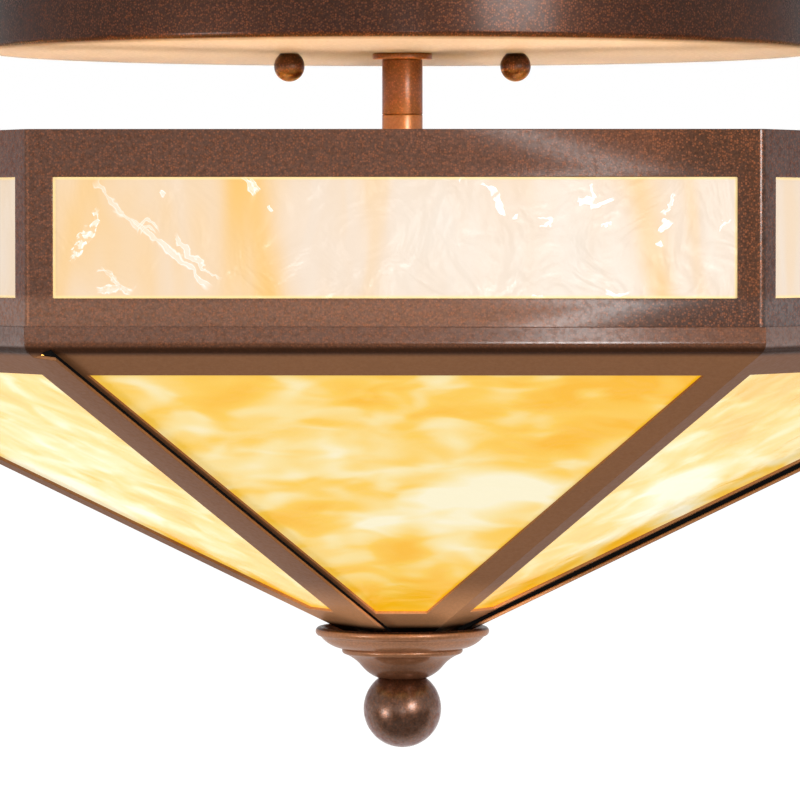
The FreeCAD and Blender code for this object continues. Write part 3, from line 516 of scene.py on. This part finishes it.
def paint_slit_shade(material):
    """Black beads in the laps' slits that paint the shade in them; each is drawn out at its
    upper end to close the fold.
    """
    work = joined_copy("seam_sealant")
    spots = np.array([vert.co for vert in work.verts])
    far = np.hypot(spots[:, 0], spots[:, 1])
    stretch = np.where(far > SEAM_TOP, 1 + SEAM_REACH / far, 1.0)
    spots[:, :2] *= stretch[:, None]
    spots[:, 2] += np.where(far > SEAM_TOP, SEAM_LIFT, 0.0)
    mesh = bpy.data.meshes.new("drawn_seam_sealant")
    finish_mesh(work, mesh, 30)
    mesh.vertices.foreach_set("co", spots.ravel())
    put_in_place(mesh, "seam_sealant", "fixture", material)


# ---------------------------------------------------------------- shared effects


def make_powder_coat():
    """Metallic bronze skin: round copper flecks in a cloudy base under a pitted lacquer."""
    board, given, end = new_group(
        "powder_coat",
        {"Vector": "Vector", "Base": "Color", "Fleck": "Color", "Fleck Share": "Float",
         "Grain": "Float", "Peel": "Float", "Gloss": "Float", "Lacquer": "Float"},
        {"Color": "Color", "Roughness": "Float", "Coat": "Float", "Normal": "Vector"})
    place = given["Vector"]
    cells = board.add("ShaderNodeTexVoronoi", {"Vector": place, "Scale": 1350.0}).outputs
    lit = board.add("ShaderNodeSeparateColor", {0: cells["Color"]}).outputs[0]
    dot = board.times(board.span(cells["Distance"], 0.8, 0.1), board.span(lit, 0.1, 1.0))
    fleck = board.times(dot, given["Fleck Share"])
    pit = board.minus(board.noise(place, 1000.0, roughness=0.6), 0.5)
    cloud = board.minus(board.noise(place, 16.0, detail=3.0), 0.5)
    tone = board.plus(board.plus(1.0, board.times(cloud, 0.22)),
                      board.times(pit, given["Grain"]))
    base = board.mix(1.0, given["Base"], tone, "MULTIPLY")
    skin = board.noise(board.stretch(place, shift=(3.1, 1.7, 0.4)), 560.0, detail=1.5,
                       roughness=0.4)
    board.feed(end, {
        "Color": board.mix(fleck, base, given["Fleck"]),
        "Roughness": board.plus(given["Gloss"], board.span(skin, 0.3, 0.7, -0.05, 0.06)),
        "Coat": board.times(given["Lacquer"], board.span(skin, 0.3, 0.62, 0.6, 1.0)),
        "Normal": board.bump(skin, given["Peel"])})
    return board.tree


def make_glass_sheet():
    """Rolled art glass: four tones from deep to hot, in streaks along one direction.

    Vector is the place on the pane, x across and y up. Level is how pale the glass is there,
    from 0 to 1, Spread how far the streaks take it from that, and Veins how much paler its
    broken veins are.
    """
    board, given, end = new_group(
        "streaked_glass",
        {"Vector": "Vector", "Stretch": "Vector", "Level": "Float", "Spread": "Float",
         "Veins": "Float", "Deep": "Color", "Mid": "Color", "Pale": "Color", "Hot": "Color"},
        {"Color": "Color", "Body": "Color", "Normal": "Vector"})
    along = board.add("ShaderNodeVectorMath", {0: given["Vector"], 1: given["Stretch"]},
                      operation="MULTIPLY").outputs[0]
    wide = board.noise(along, 1.0, distortion=0.9)
    fine = board.noise(along, 3.1, detail=1.5, roughness=0.45, distortion=0.7)
    streaks = board.plus(board.times(wide, 0.6), board.times(fine, 0.4))
    swing = board.times(board.minus(streaks, 0.5), given["Spread"])
    flow = board.noise(along, 1.6, detail=1.0, roughness=0.4, distortion=0.5)
    vein = board.times(board.span(fine, 0.35, 0.65), board.span(
        board.math("ABSOLUTE", board.minus(flow, 0.5)), 0.17, 0.02))
    tone = board.plus(given["Level"], board.plus(swing, board.times(vein, given["Veins"])))
    first = board.mix(board.span(tone, 0.0, 0.34, smooth=False), given["Deep"], given["Mid"])
    second = board.mix(board.span(tone, 0.34, 0.68, smooth=False), first, given["Pale"])
    sheet = board.mix(board.span(tone, 0.68, 1.0, smooth=False), second, given["Hot"])
    relief = board.noise(given["Vector"], 46.0, detail=3.0, distortion=0.8)
    board.feed(end, {"Color": sheet, "Normal": board.bump(relief, 0.0008),
                     "Body": board.mix(1.0, sheet, (0.5, 0.5, 0.5, 1.0), "MULTIPLY")})
    return board.tree


def make_glinting_wrinkle():
    """One wrinkle where rolled glass chilled first, with a painted glint on it: a bent ribbon,
    paler at its edges.

    Centre is its middle, Turn its direction, Long and Wide its half length and half width,
    and Bend how far it bows over its length. Broken is 1 where it falls apart into crumbs.
    """
    board, given, end = new_group(
        "glinting_wrinkle",
        {"Vector": "Vector", "Centre": "Vector", "Turn": "Vector", "Long": "Float",
         "Wide": "Float", "Bend": "Float", "Broken": "Float", "Strength": "Float"},
        {"Mask": "Float"})
    moved = board.add("ShaderNodeVectorMath", {0: given["Vector"], 1: given["Centre"]},
                      operation="SUBTRACT").outputs[0]
    parts = board.axes(board.add("ShaderNodeVectorRotate", {
        "Vector": moved, "Rotation": given["Turn"]}, rotation_type="EULER_XYZ").outputs[0])
    share = board.over(parts[0], given["Long"])
    bow = board.times(board.times(share, share), given["Bend"])
    waver = board.times(board.minus(board.noise(given["Vector"], 110.0, detail=3.0), 0.5),
                        0.009)
    side = board.plus(board.minus(parts[1], bow), waver)
    thick = board.times(given["Wide"], board.span(
        board.noise(given["Vector"], 150.0), 0.3, 0.7, 0.3, 1.5))
    near = board.over(board.math("ABSOLUTE", side), thick)
    fill = board.span(near, 1.3, 0.2, 0.0, 0.5)
    lip = board.times(board.span(near, 1.35, 0.8), board.span(near, 0.2, 0.9))
    ends = board.span(board.math("ABSOLUTE", share), 1.0, 0.75)
    crumbs = board.span(board.noise(given["Vector"], 520.0), 0.44, 0.52)
    kept = board.minus(1.0, board.times(given["Broken"], board.minus(1.0, crumbs)))
    mask = board.times(board.times(board.math("MAXIMUM", fill, lip), ends), kept)
    board.feed(end, {"Mask": board.times(mask, given["Strength"])})
    return board.tree


def make_worked_steel():
    """Plated steel: cloudy zinc with fine rubbing marks."""
    board, given, end = new_group(
        "plated_steel", {"Vector": "Vector", "Base": "Color"},
        {"Color": "Color", "Roughness": "Float", "Normal": "Vector"})
    cloud = board.noise(given["Vector"], 130.0, detail=4.0)
    rub = board.noise(board.stretch(given["Vector"], (90.0, 900.0, 900.0)), 1.0, detail=3.0)
    tone = board.plus(board.span(cloud, 0.3, 0.7, 0.82, 1.08),
                      board.span(rub, 0.3, 0.7, -0.06, 0.06))
    board.feed(end, {"Color": board.mix(1.0, given["Base"], tone, "MULTIPLY"),
                     "Roughness": board.span(rub, 0.3, 0.7, 0.28, 0.42),
                     "Normal": board.bump(rub, 0.00004, 0.6)})
    return board.tree


# ---------------------------------------------------------------- metals and plastics

POWDER_COAT = make_powder_coat()
GLASS_SHEET = make_glass_sheet()
GLINTING_WRINKLE = make_glinting_wrinkle()
WORKED_STEEL = make_worked_steel()

SKIN = {"Color": "Base Color", "Roughness": "Roughness", "Normal": "Normal"}
COATED_SKIN = {**SKIN, "Coat": "Coat Weight"}
BRONZE = linear(93, 57, 38)
COPPER = linear(190, 106, 62)
WARM_SHEEN = linear(190, 150, 120)
DULL_SHEEN = linear(120, 90, 66)

# Heights in metres over which a finish sets in, and over which painted light and painted shade
# set in
CANOPY_UNDERSIDE = (-0.0308, -0.0316)
BAND_RAIL = (-0.1225, -0.1285)
PAN_RIM = (-0.1436, -0.1418)
PAN_FOLD_SHADE_BELOW, PAN_FOLD_SHADE_ABOVE = (-0.1466, -0.1446), (-0.1414, -0.1426)
PAN_TIP_LIGHT = (-0.234, -0.2495)
PAN_SEAT_SHADOW = (-0.2542, -0.2566)
CAP_BRIM = (-0.2755, -0.2635)
CAP_EDGE_SHADE = (-0.2586, -0.2579)
# Distances to the right over which painted shade darkens the band and its rail
BAND_END_SHADE, RAIL_END_SHADE = (0.084, 0.112), (0.04, 0.1)


def coated(name, metallic, blur, sheen_level=0.2, sheen=WARM_SHEEN):
    """Material for powder coat, its board and shader; blur is the lacquer's roughness."""
    return new_material(name, Metallic=metallic, Coat_Roughness=blur, Coat_IOR=1.6,
                        Specular_IOR_Level=sheen_level, Specular_Tint=sheen)


def lay_coat(board, shader, place, base, fleck_share, grain, gloss, lacquer, peel=0.00002):
    """Powder coat on the shader; fleck_share is how strongly the copper flecks show."""
    out = board.add_group(POWDER_COAT, {
        "Vector": place, "Base": base, "Fleck": COPPER, "Fleck Share": fleck_share,
        "Grain": grain, "Peel": peel, "Gloss": gloss, "Lacquer": lacquer})
    wire(board, out, shader, COATED_SKIN)


def bronze(name, base, fleck_share=0.3, grain=0.5, gloss=0.4, lacquer=0.5, blur=0.1,
           metallic=0.75):
    """Bronze powder coat that is the same all over its piece."""
    material, board, shader = coated(name, metallic, blur)
    lay_coat(board, shader, board.place_on_piece(), base, fleck_share, grain, gloss, lacquer)
    return material


def band_bronze():
    """Powder coat with painted light on the lower rail, which makes it lighter and warmer, and
    painted shade towards the right end.
    """
    material, board, shader = coated("bronze_band", metallic=0.75, blur=0.1)
    place = board.place_on_piece()
    right, _, height = board.axes(place)
    rail = board.span(height, *BAND_RAIL)
    # painted light lightens and warms the lower rail; painted shade darkens the band and the
    # rail towards the right
    base = board.mix(
        rail, board.mix(board.span(right, *BAND_END_SHADE), BRONZE, linear(74, 46, 30)),
        board.mix(board.span(right, *RAIL_END_SHADE), linear(118, 75, 49), linear(70, 44, 31)))
    lay_coat(board, shader, place, base, fleck_share=0.4, grain=1.4, gloss=0.4,
             lacquer=board.between(rail, 0.58, 1.0))
    return material


def canopy_bronze():
    """Dark powder coat on the side, partly painted shade, and a pale base on the floor that is
    painted light from the bulbs.
    """
    material, board, shader = coated("bronze_canopy", metallic=0.6, blur=0.2,
                                     sheen=DULL_SHEEN)
    place = board.place_on_piece()
    floor = board.span(board.axes(place)[2], *CANOPY_UNDERSIDE)
    # painted light: the floor's pale base stands in for the bulbs' light on it; the side's dark
    # base is partly painted shade
    base = board.mix(floor, linear(60, 39, 29), linear(130, 125, 128))
    lay_coat(board, shader, place, base, fleck_share=board.between(floor, 0.26, 0.05),
             grain=board.between(floor, 0.9, 0.1), gloss=board.between(floor, 0.42, 0.55),
             lacquer=board.between(floor, 0.22, 0.1))
    return material


def cap_bronze():
    """Coppery on the brim and darker down the neck, with painted shade on the brim's top edge.
    """
    material, board, shader = coated("bronze_cap", metallic=0.5, blur=0.16)
    place = board.place_on_piece()
    height = board.axes(place)[2]
    turned = board.mix(board.span(height, *CAP_BRIM), linear(124, 82, 56),
                       linear(180, 124, 86))
    # painted shade: near black on the brim's top edge, under the pan
    base = board.mix(board.span(height, *CAP_EDGE_SHADE), turned, linear(36, 22, 15))
    lay_coat(board, shader, place, base, fleck_share=0.24, grain=0.9, gloss=0.44,
             lacquer=0.4, peel=0.00001)
    return material


def pan_bronze():
    """Grained and lacquered on the rim, smooth below it, with painted shade in the fold, a
    painted shadow at the cap and painted light towards the tip.
    """
    material, board, shader = coated("bronze_pan", metallic=0.35, blur=0.1,
                                     sheen_level=0.1, sheen=DULL_SHEEN)
    place = board.place_on_piece()
    height = board.axes(place)[2]
    rim = board.span(height, *PAN_RIM)
    # painted shade: a dark band along the fold between rim and slope
    fold = board.times(board.span(height, *PAN_FOLD_SHADE_BELOW),
                       board.span(height, *PAN_FOLD_SHADE_ABOVE))
    # painted light: the slope's base gets paler down towards the tip
    slope = board.mix(board.span(height, *PAN_TIP_LIGHT), linear(158, 109, 72),
                      linear(232, 166, 116))
    # painted shadow: near black where the pan goes down into the cap
    slope = board.mix(board.span(height, *PAN_SEAT_SHADOW), slope, linear(10, 7, 5))
    slope = board.mix(fold, slope, linear(68, 42, 27))
    lay_coat(board, shader, place, board.mix(rim, slope, linear(108, 68, 46)),
             fleck_share=board.between(rim, 0.05, 0.32),
             grain=board.between(rim, 0.3, 1.3), gloss=board.between(rim, 0.5, 0.4),
             lacquer=board.between(rim, 0.04, 0.85), peel=0.00001)
    return material


def make_bronzes():
    """The same powder coat on each kind of piece; the stem's and the coupling's lighter bases
    are painted light.
    """
    return {
        "band": band_bronze(),
        "nut": bronze("bronze_nut", linear(76, 45, 26), lacquer=0.6, blur=0.18),
        "canopy": canopy_bronze(),
        # partly painted light: the stem's warmer base stands in for the bulbs' light on it
        "stem": bronze("bronze_stem", linear(120, 75, 42), fleck_share=0.5, grain=0.8,
                       blur=0.2),
        # painted light: the coupling's lighter base stands in for the bulbs' light on it
        "coupling": bronze("bronze_coupling_bulb_lit", linear(172, 114, 68), fleck_share=0.4,
                           grain=0.8, blur=0.2),
        "pan": pan_bronze(),
        "inner": bronze("bronze_inner", linear(124, 80, 44), fleck_share=0.2),
        "cap": cap_bronze(),
        "ball": bronze("bronze_ball", linear(100, 62, 38), fleck_share=0.24, grain=1.5,
                       gloss=0.36, lacquer=1.0, blur=0.26, metallic=0.85)}


def steel(name, base, metallic=1.0):
    """Plated or plain metal in one colour."""
    material, board, shader = new_material(name, Metallic=metallic)
    out = board.add_group(WORKED_STEEL, {"Vector": board.place_on_piece(), "Base": base})
    wire(board, out, shader, SKIN)
    return material


def grained(name, dark, light, roughness, scale, depth, sheen=0.5):
    """Plain moulded or laid material with a fine grain between two tones."""
    material, board, shader = new_material(name, Roughness=roughness,
                                           Specular_IOR_Level=sheen)
    grain = board.noise(board.place_on_piece(), scale)
    board.feed(shader, {"Base Color": board.mix(grain, dark, light),
                        "Normal": board.bump(grain, depth)})
    return material


def bulb_frost():
    """Frosted globe that glows, with a faint cloud in it."""
    material, board, shader = new_material(
        "bulb_frost", Roughness=0.6, Emission_Strength=2.4, Base_Color=linear(240, 236, 226))
    cloud = board.noise(board.place_on_piece(), 30.0)
    board.feed(shader, {"Emission Color": board.mix(
        cloud, linear(255, 226, 178), linear(255, 238, 206))})
    return material


# ---------------------------------------------------------------- glass

FACE_ANGLES = {"front": -90, "right": -30, "back_right": 30, "back": 90, "back_left": 150,
               "left": -150}
# Which way round each face's pane is cut from the sheet, and how far along it
CUTS = {"front": (1, 0.0), "right": (-1, 0.031), "back_right": (1, -0.043),
        "back": (-1, 0.012), "back_left": (1, 0.052), "left": (-1, -0.027)}
PAN_SLOPE = math.radians(29.2)
WINDOW_HALF = 0.12065
WINDOW_TOP = -0.0828
WINDOW_FOOT = -0.1256
BAND_LEVEL, PAN_LEVEL = 0.62, 0.29

# Patches: x, height on the sheet, reach both ways, and how much paler the glass is there; on
# the pan's panes the paler ones are partly painted light from the bulbs
BAND_PATCHES = ((0.05, -0.112, 0.06, 0.03, 0.2), (-0.1, -0.098, 0.035, 0.04, -0.2))
PAN_PATCHES = ((-0.09, 0.226, 0.03, 0.02, 0.2), (-0.062, 0.216, 0.015, 0.018, -0.3),
               (0.004, 0.132, 0.008, 0.05, -0.32), (-0.007, 0.219, 0.02, 0.016, -0.25),
               (0.09, 0.226, 0.034, 0.016, -0.4), (0.061, 0.187, 0.02, 0.013, -0.32),
               (-0.003, 0.122, 0.018, 0.012, 0.4), (0.03, 0.136, 0.024, 0.02, 0.6),
               (0.046, 0.149, 0.012, 0.01, 0.4), (0.027, 0.091, 0.014, 0.012, 0.3),
               (0.006, 0.052, 0.04, 0.02, -0.35), (-0.035, 0.115, 0.018, 0.02, -0.2),
               (-0.036, 0.187, 0.04, 0.02, 0.2), (0.01, 0.155, 0.06, 0.045, 0.28))
# Amber streaks of the band's sheet: foot, lean, half width and depth
AMBER_STREAKS = ((-0.0445, -0.16, 0.0075, 0.42), (-0.058, 0.0, 0.0042, 0.2),
                 (-0.007, 0.0, 0.006, 0.14), (0.0945, -0.2, 0.0065, 0.42),
                 (0.108, -0.1, 0.003, 0.2), (-0.119, 0.25, 0.005, 0.2))
# Wrinkles with their painted glint: centre x and y, turn in degrees, half length, half width,
# bend, broken, strength
GLINTING_WRINKLES = (
    (-0.0985, -0.0935, 47, 0.0125, 0.0014, 0.0010, 0.15, 0.40),
    (-0.0900, -0.0995, 38, 0.0110, 0.0010, -0.0022, 0.1, 0.43),
    (-0.0745, -0.1125, 41, 0.0140, 0.0013, -0.0012, 0.1, 0.50),
    (-0.0705, -0.1120, 44, 0.0120, 0.0007, 0.0014, 0.0, 0.47),
    (-0.0880, -0.0975, -12, 0.0042, 0.0008, -0.0050, 0.0, 0.47),
    (-0.0875, -0.0995, -8, 0.0030, 0.0006, -0.0034, 0.0, 0.43),
    (-0.1085, -0.1035, -56, 0.0105, 0.0012, 0.0012, 0.9, 0.68),
    (-0.1120, -0.1060, -62, 0.0075, 0.0008, -0.0010, 0.9, 0.58),
    (-0.1010, -0.1160, 20, 0.0045, 0.0012, -0.0022, 0.6, 0.54),
    (-0.0985, -0.1195, 35, 0.0075, 0.0014, 0.0016, 0.5, 0.50),
    (-0.1010, -0.1225, -12, 0.0045, 0.0009, 0.0012, 0.5, 0.54),
    (-0.0520, -0.0862, 50, 0.0042, 0.0009, 0.0, 0.3, 0.8),
    (-0.0500, -0.0858, 52, 0.0030, 0.0005, 0.0, 0.3, 0.7),
    (-0.0440, -0.0940, 60, 0.0014, 0.0007, 0.0, 0.4, 0.9),
    (-0.0820, -0.0885, 30, 0.0012, 0.0007, 0.0, 0.3, 0.7),
    (0.0325, -0.0872, 50, 0.0032, 0.0009, 0.0, 0.3, 1.0),
    (0.0378, -0.0925, 48, 0.0040, 0.0011, 0.0, 0.3, 1.0),
    (0.0425, -0.0962, 10, 0.0009, 0.0008, 0.0, 0.0, 1.0),
    (0.0238, -0.0835, -20, 0.0016, 0.0004, -0.0014, 0.0, 0.8),
    (0.0530, -0.0978, 10, 0.0030, 0.0004, -0.0006, 0.1, 0.9),
    (0.0535, -0.0998, -18, 0.0028, 0.0004, 0.0006, 0.1, 0.9),
    (0.0670, -0.0918, 20, 0.0030, 0.0012, 0.0, 0.2, 1.0),
    (0.0690, -0.0882, 62, 0.0028, 0.0008, 0.0, 0.2, 1.0),
    (0.0735, -0.0930, -32, 0.0048, 0.0005, 0.0006, 0.1, 0.95),
    (0.0745, -0.1000, 4, 0.0020, 0.0006, 0.0, 0.9, 0.9),
    (0.0955, -0.1005, -56, 0.0030, 0.0011, 0.0, 0.3, 1.0),
    (0.0930, -0.1068, 60, 0.0012, 0.0009, 0.0, 0.1, 1.0),
    (0.0970, -0.0925, -62, 0.0045, 0.0006, 0.0, 0.95, 0.7),
    (0.0785, -0.1245, 0, 0.0045, 0.0007, 0.0010, 0.2, 1.0),
    (0.0505, -0.1250, 10, 0.0026, 0.0007, 0.0, 0.2, 0.95),
    (0.1160, -0.0995, -38, 0.0032, 0.0003, 0.0, 0.4, 0.75))


def pane_place(board, face, slope=0.0):
    """Place on a face's pane: x to the right and y up it, as seen from outside.

    It also gives the x and y by themselves, and the x as it is on the face before the cut.
    """
    turn = -math.radians(FACE_ANGLES[face] + 90)
    facing = board.axes(board.stretch(board.place_on_piece(), turn=(0.0, 0.0, turn)))
    up = board.times(facing[1], -1.0 / math.cos(slope)) if slope else facing[2]
    side, shift = CUTS[face]
    across = board.plus(board.times(facing[0], float(side)), shift)
    place = board.add("ShaderNodeCombineXYZ", {0: across, 1: up}).outputs[0]
    return place, across, up, facing[0]


def bell(board, square):
    """1 at a squared distance of 0, falling off softly."""
    return board.math("POWER", math.e, board.times(square, -1.0))


def patched(board, level, across, up, patches):
    """Paleness of the glass with soft round patches laid on it."""
    for x, y, half_x, half_y, lift in patches:
        off_x = board.over(board.minus(across, x), half_x)
        off_y = board.over(board.minus(up, y), half_y)
        square = board.plus(board.times(off_x, off_x), board.times(off_y, off_y))
        level = board.plus(level, board.times(lift, bell(board, square)))
    return level


def streaked(board, level, across, up):
    """Paleness of the glass with amber streaks through it that lean as they rise."""
    for foot, lean, half, depth in AMBER_STREAKS:
        line = board.plus(board.times(board.minus(up, WINDOW_FOOT), lean), foot)
        away = board.over(board.minus(across, line), half)
        level = board.minus(level, board.times(bell(board, board.times(away, away)), depth))
    return level


def band_glass(face):
    """Cream pane with upright amber streaks that glows with painted light, and pale wrinkles
    where the glass chilled, which carry a painted glint.
    """
    # The pane's emission is painted light, a glow that stands in for the bulbs' light through
    # it.
    material, board, shader = new_material(
        f"band_glass_{face}", Roughness=0.18, IOR=1.5, Emission_Strength=0.56)
    place, across, up, middle = pane_place(board, face)
    level = streaked(board, patched(board, BAND_LEVEL, across, up, BAND_PATCHES), across, up)
    out = board.add_group(GLASS_SHEET, {
        "Vector": place, "Stretch": (28.0, 8.0, 1.0), "Level": level, "Spread": 0.75,
        "Veins": 0.0, "Deep": linear(253, 198, 96), "Mid": linear(251, 213, 160),
        "Pale": linear(247, 226, 204), "Hot": linear(248, 237, 224)})
    wrinkles = 0.0
    for x, y, turn, long, wide, bend, broken, strength in GLINTING_WRINKLES:
        stroke = board.add_group(GLINTING_WRINKLE, {
            "Vector": place, "Centre": (x, y, 0.0),
            "Turn": (0.0, 0.0, math.radians(turn)), "Long": long, "Wide": wide,
            "Bend": bend, "Broken": broken, "Strength": strength})
        wrinkles = board.math("MAXIMUM", wrinkles, stroke["Mask"])
    # painted light: a warm lit rim along the pane's edges, in its colour and its glow
    side = board.minus(WINDOW_HALF, board.math("ABSOLUTE", middle))
    level_side = board.math("MINIMUM", board.minus(WINDOW_TOP, up),
                            board.minus(up, WINDOW_FOOT))
    edge = board.span(board.math("MINIMUM", side, level_side), 0.0013, 0.0003)
    for source, target, share in (("Body", "Base Color", 0.6),
                                  ("Color", "Emission Color", 1.0)):
        # painted glint: the wrinkles turn the pane whitish in its colour and its glow
        marked = board.mix(wrinkles, out[source], (1.0, 0.96, 0.98, 1.0))
        board.feed(shader, {target: board.mix(board.times(edge, share), marked,
                                              linear(255, 222, 150))})
    wire(board, out, shader, {"Normal": "Normal"})
    return material


def pan_glass(face):
    """Amber pane with wavy streaks across it that glows with painted light, palest where a bulb
    is near.
    """
    # The pane's emission is painted light, a glow that stands in for the bulbs' light through
    # it.
    material, board, shader = new_material(
        f"pan_glass_{face}", Roughness=0.2, IOR=1.5, Specular_IOR_Level=0.15,
        Emission_Strength=0.7)
    place, across, up, _ = pane_place(board, face, PAN_SLOPE)
    out = board.add_group(GLASS_SHEET, {
        "Vector": place, "Stretch": (13.0, 19.0, 1.0),
        "Level": patched(board, PAN_LEVEL, across, up, PAN_PATCHES), "Spread": 1.7,
        "Veins": 0.24, "Deep": linear(253, 188, 26), "Mid": linear(254, 206, 80),
        "Pale": linear(253, 228, 156), "Hot": linear(254, 244, 208)})
    wire(board, out, shader, {"Body": "Base Color", "Color": "Emission Color",
                              "Normal": "Normal"})
    return material


# ---------------------------------------------------------------- the whole light


def make_pieces():
    zinc = steel("zinc_plate", linear(198, 196, 188))
    brass = steel("brass_shell", linear(214, 174, 104))
    plastic = grained("socket_black", linear(26, 24, 23), linear(44, 40, 38), 0.38, 700.0,
                      0.00004)
    bronzes = make_bronzes()
    turn_ceiling_plate(bronzes, zinc)
    turn_stem(bronzes, zinc)
    turn_lamps(bronzes, zinc, brass, plastic, steel("bulb_cap", linear(208, 206, 200)),
               bulb_frost())
    turn_finial(bronzes, zinc)
    green = steel("green_screw", linear(52, 128, 66), metallic=0.3)
    for node, width, material in (
            ("band_frame", 0.3, bronzes["band"]), ("pan_sheet_front", 0.3, bronzes["pan"]),
            ("pan_sheet_right", 0.3, bronzes["pan"]), ("pan_sheet_left", 0.3, bronzes["pan"]),
            ("spider", 0.4, bronzes["inner"]), ("mounting_strap", 0.3, zinc),
            ("band_glass_clips", 0.15, zinc), ("pan_glass_clips", 0.15, zinc),
            ("ground_screw", 0.25, green)):
        eased_piece(node, width, material)
    # painted shade: black beads stand in for the shade in the slits
    paint_slit_shade(grained("black_sealant", linear(5, 4, 4), linear(12, 10, 9), 0.8, 300.0,
                       0.0001, sheen=0.1))
    for face in FACE_ANGLES:
        dress(frame["nodes"][f"band_glass_{face}"].data, band_glass(face))
        dress(frame["nodes"][f"pan_glass_{face}"].data, pan_glass(face))


# ---------------------------------------------------------------- stage and light

WHITE = (1.0, 1.0, 1.0, 1.0)
FLOOR_HEIGHT, FLOOR_REACH, FLOOR_RINGS = -1500.0, 40000.0, 24
LAMP_HEART = Vector((0.0, 0.0, -0.15))
# Soft lights: degrees to the right of the camera's side, degrees up, distance, size, power
SOFTBOXES = {"right_softbox": (30, 8, 2.5, (0.8, 0.6), 26.0),
             "left_softbox": (-52, -12, 2.5, (0.7, 0.6), 17.0),
             "strip_light": (2.7, 0, 2.3, (0.06, 0.4), 0.6),
             "low_strip_light": (2.7, -8, 2.3, (0.1, 0.4), 2.0),
             "overhead_softbox": (5, 48, 3.2, (2.2, 1.6), 10.0)}
BULB_POWER, BULB_SIZE = 3.4, 0.02
BULB_OUT, BULB_HEIGHT = 0.05, -0.185


def rays_to_background(board):
    """Two masks: 1 for straight rays, and 1 for rays mirrored or through glass."""
    rays = board.add("ShaderNodeLightPath").outputs
    return rays["Is Camera Ray"], board.math("MAXIMUM", rays["Is Glossy Ray"],
                                             rays["Is Transmission Ray"])


def make_floor():
    """Wide pale disc far under the light: z constant, radius by the square of its share.

    Mirrored rays see it dark in front of the light and white behind it. It is clear from
    below, so that the light can be looked at from there.
    """
    rows = np.stack([FLOOR_REACH * np.linspace(0.0, 1.0, FLOOR_RINGS) ** 2,
                     np.full(FLOOR_RINGS, FLOOR_HEIGHT)], axis=1)
    mesh = grid_mesh("floor", [revolve(rows)], closed=False)
    floor = bpy.data.objects.new("floor", mesh)
    bpy.context.scene.collection.objects.link(floor)
    material, board, shader = new_material(
        "pale_floor", Roughness=0.9, Base_Color=(0.3, 0.3, 0.3, 1.0), Specular_IOR_Level=0.0,
        Emission_Color=WHITE)
    straight, mirrored = rays_to_background(board)
    depth = board.axes(board.place_on_piece())[1]
    shown = board.plus(board.span(depth, -0.3, 0.5, 0.05, 1.0),
                       board.span(depth, -3.0, -14.0, 0.0, 0.55))
    under = board.add("ShaderNodeNewGeometry").outputs["Backfacing"]
    board.feed(shader, {
        "Emission Strength": board.math("MAXIMUM", board.times(straight, 0.95),
                                        board.times(mirrored, shown)),
        "Alpha": board.minus(1.0, under)})
    dress(mesh, material)


def make_world():
    """Studio around the light: white behind it, dimmer in front; white to the camera."""
    world = bpy.data.worlds.new("studio")
    bpy.context.scene.world = world
    world.use_nodes = True
    board = Board(world.node_tree)
    toward = board.axes(board.add("ShaderNodeTexCoord").outputs["Generated"])
    behind = board.span(toward[1], -0.25, 0.45)
    above = board.span(toward[2], -0.3, 0.8)
    ambient = board.plus(board.times(behind, 0.42), board.plus(board.times(above, 0.16), 0.12))
    straight, mirrored = rays_to_background(board)
    slant = board.over(toward[0], board.math("ABSOLUTE", toward[1]))
    gap = board.times(board.span(slant, 0.026, 0.046), board.span(slant, 0.3, 0.16))
    front = board.minus(1.0, board.times(gap, 0.6))
    shown = board.plus(board.math("MAXIMUM", behind, front),
                       board.span(toward[2], 0.0, 0.3, 0.0, -0.35))
    strength = board.plus(board.times(board.minus(1.0, mirrored), ambient),
                          board.times(mirrored, shown))
    board.feed(world.node_tree.nodes["Background"], {
        "Color": WHITE, "Strength": board.math("MAXIMUM", straight, strength)})


def add_softbox(name, azimuth, elevation, distance, size, power):
    """Soft light, size wide by high, aimed at the fixture from angles off the camera's side."""
    turn = math.radians(-90 + azimuth)
    rise = math.radians(elevation)
    away = Vector((math.cos(turn) * math.cos(rise), math.sin(turn) * math.cos(rise),
                   math.sin(rise)))
    light = bpy.data.lights.new(name, "AREA")
    light.shape = "RECTANGLE"
    light.size, light.size_y = size
    light.energy = power
    lamp = bpy.data.objects.new(name, light)
    lamp.location = LAMP_HEART + away * distance
    lamp.rotation_euler = away.to_track_quat("Z", "Y").to_euler()
    bpy.context.scene.collection.objects.link(lamp)


def light_bulbs():
    """Warm light from inside each globe, which itself casts no shadow."""
    for number, angle in enumerate(LAMP_ANGLES, start=1):
        bpy.data.objects[f"turned_bulb_glass_{number}"].visible_shadow = False
        light = bpy.data.lights.new(f"bulb_light_{number}", "POINT")
        light.energy = BULB_POWER
        light.color = linear(255, 232, 196)[:3]
        light.shadow_soft_size = BULB_SIZE
        lamp = bpy.data.objects.new(f"bulb_light_{number}", light)
        turn = math.radians(angle)
        lamp.location = (BULB_OUT * math.cos(turn), BULB_OUT * math.sin(turn), BULB_HEIGHT)
        bpy.context.scene.collection.objects.link(lamp)


place_camera()
make_pieces()
make_floor()
make_world()
for box_name, box in SOFTBOXES.items():
    add_softbox(box_name, *box)
light_bulbs()
bpy.context.scene.view_settings.view_transform = "Standard"
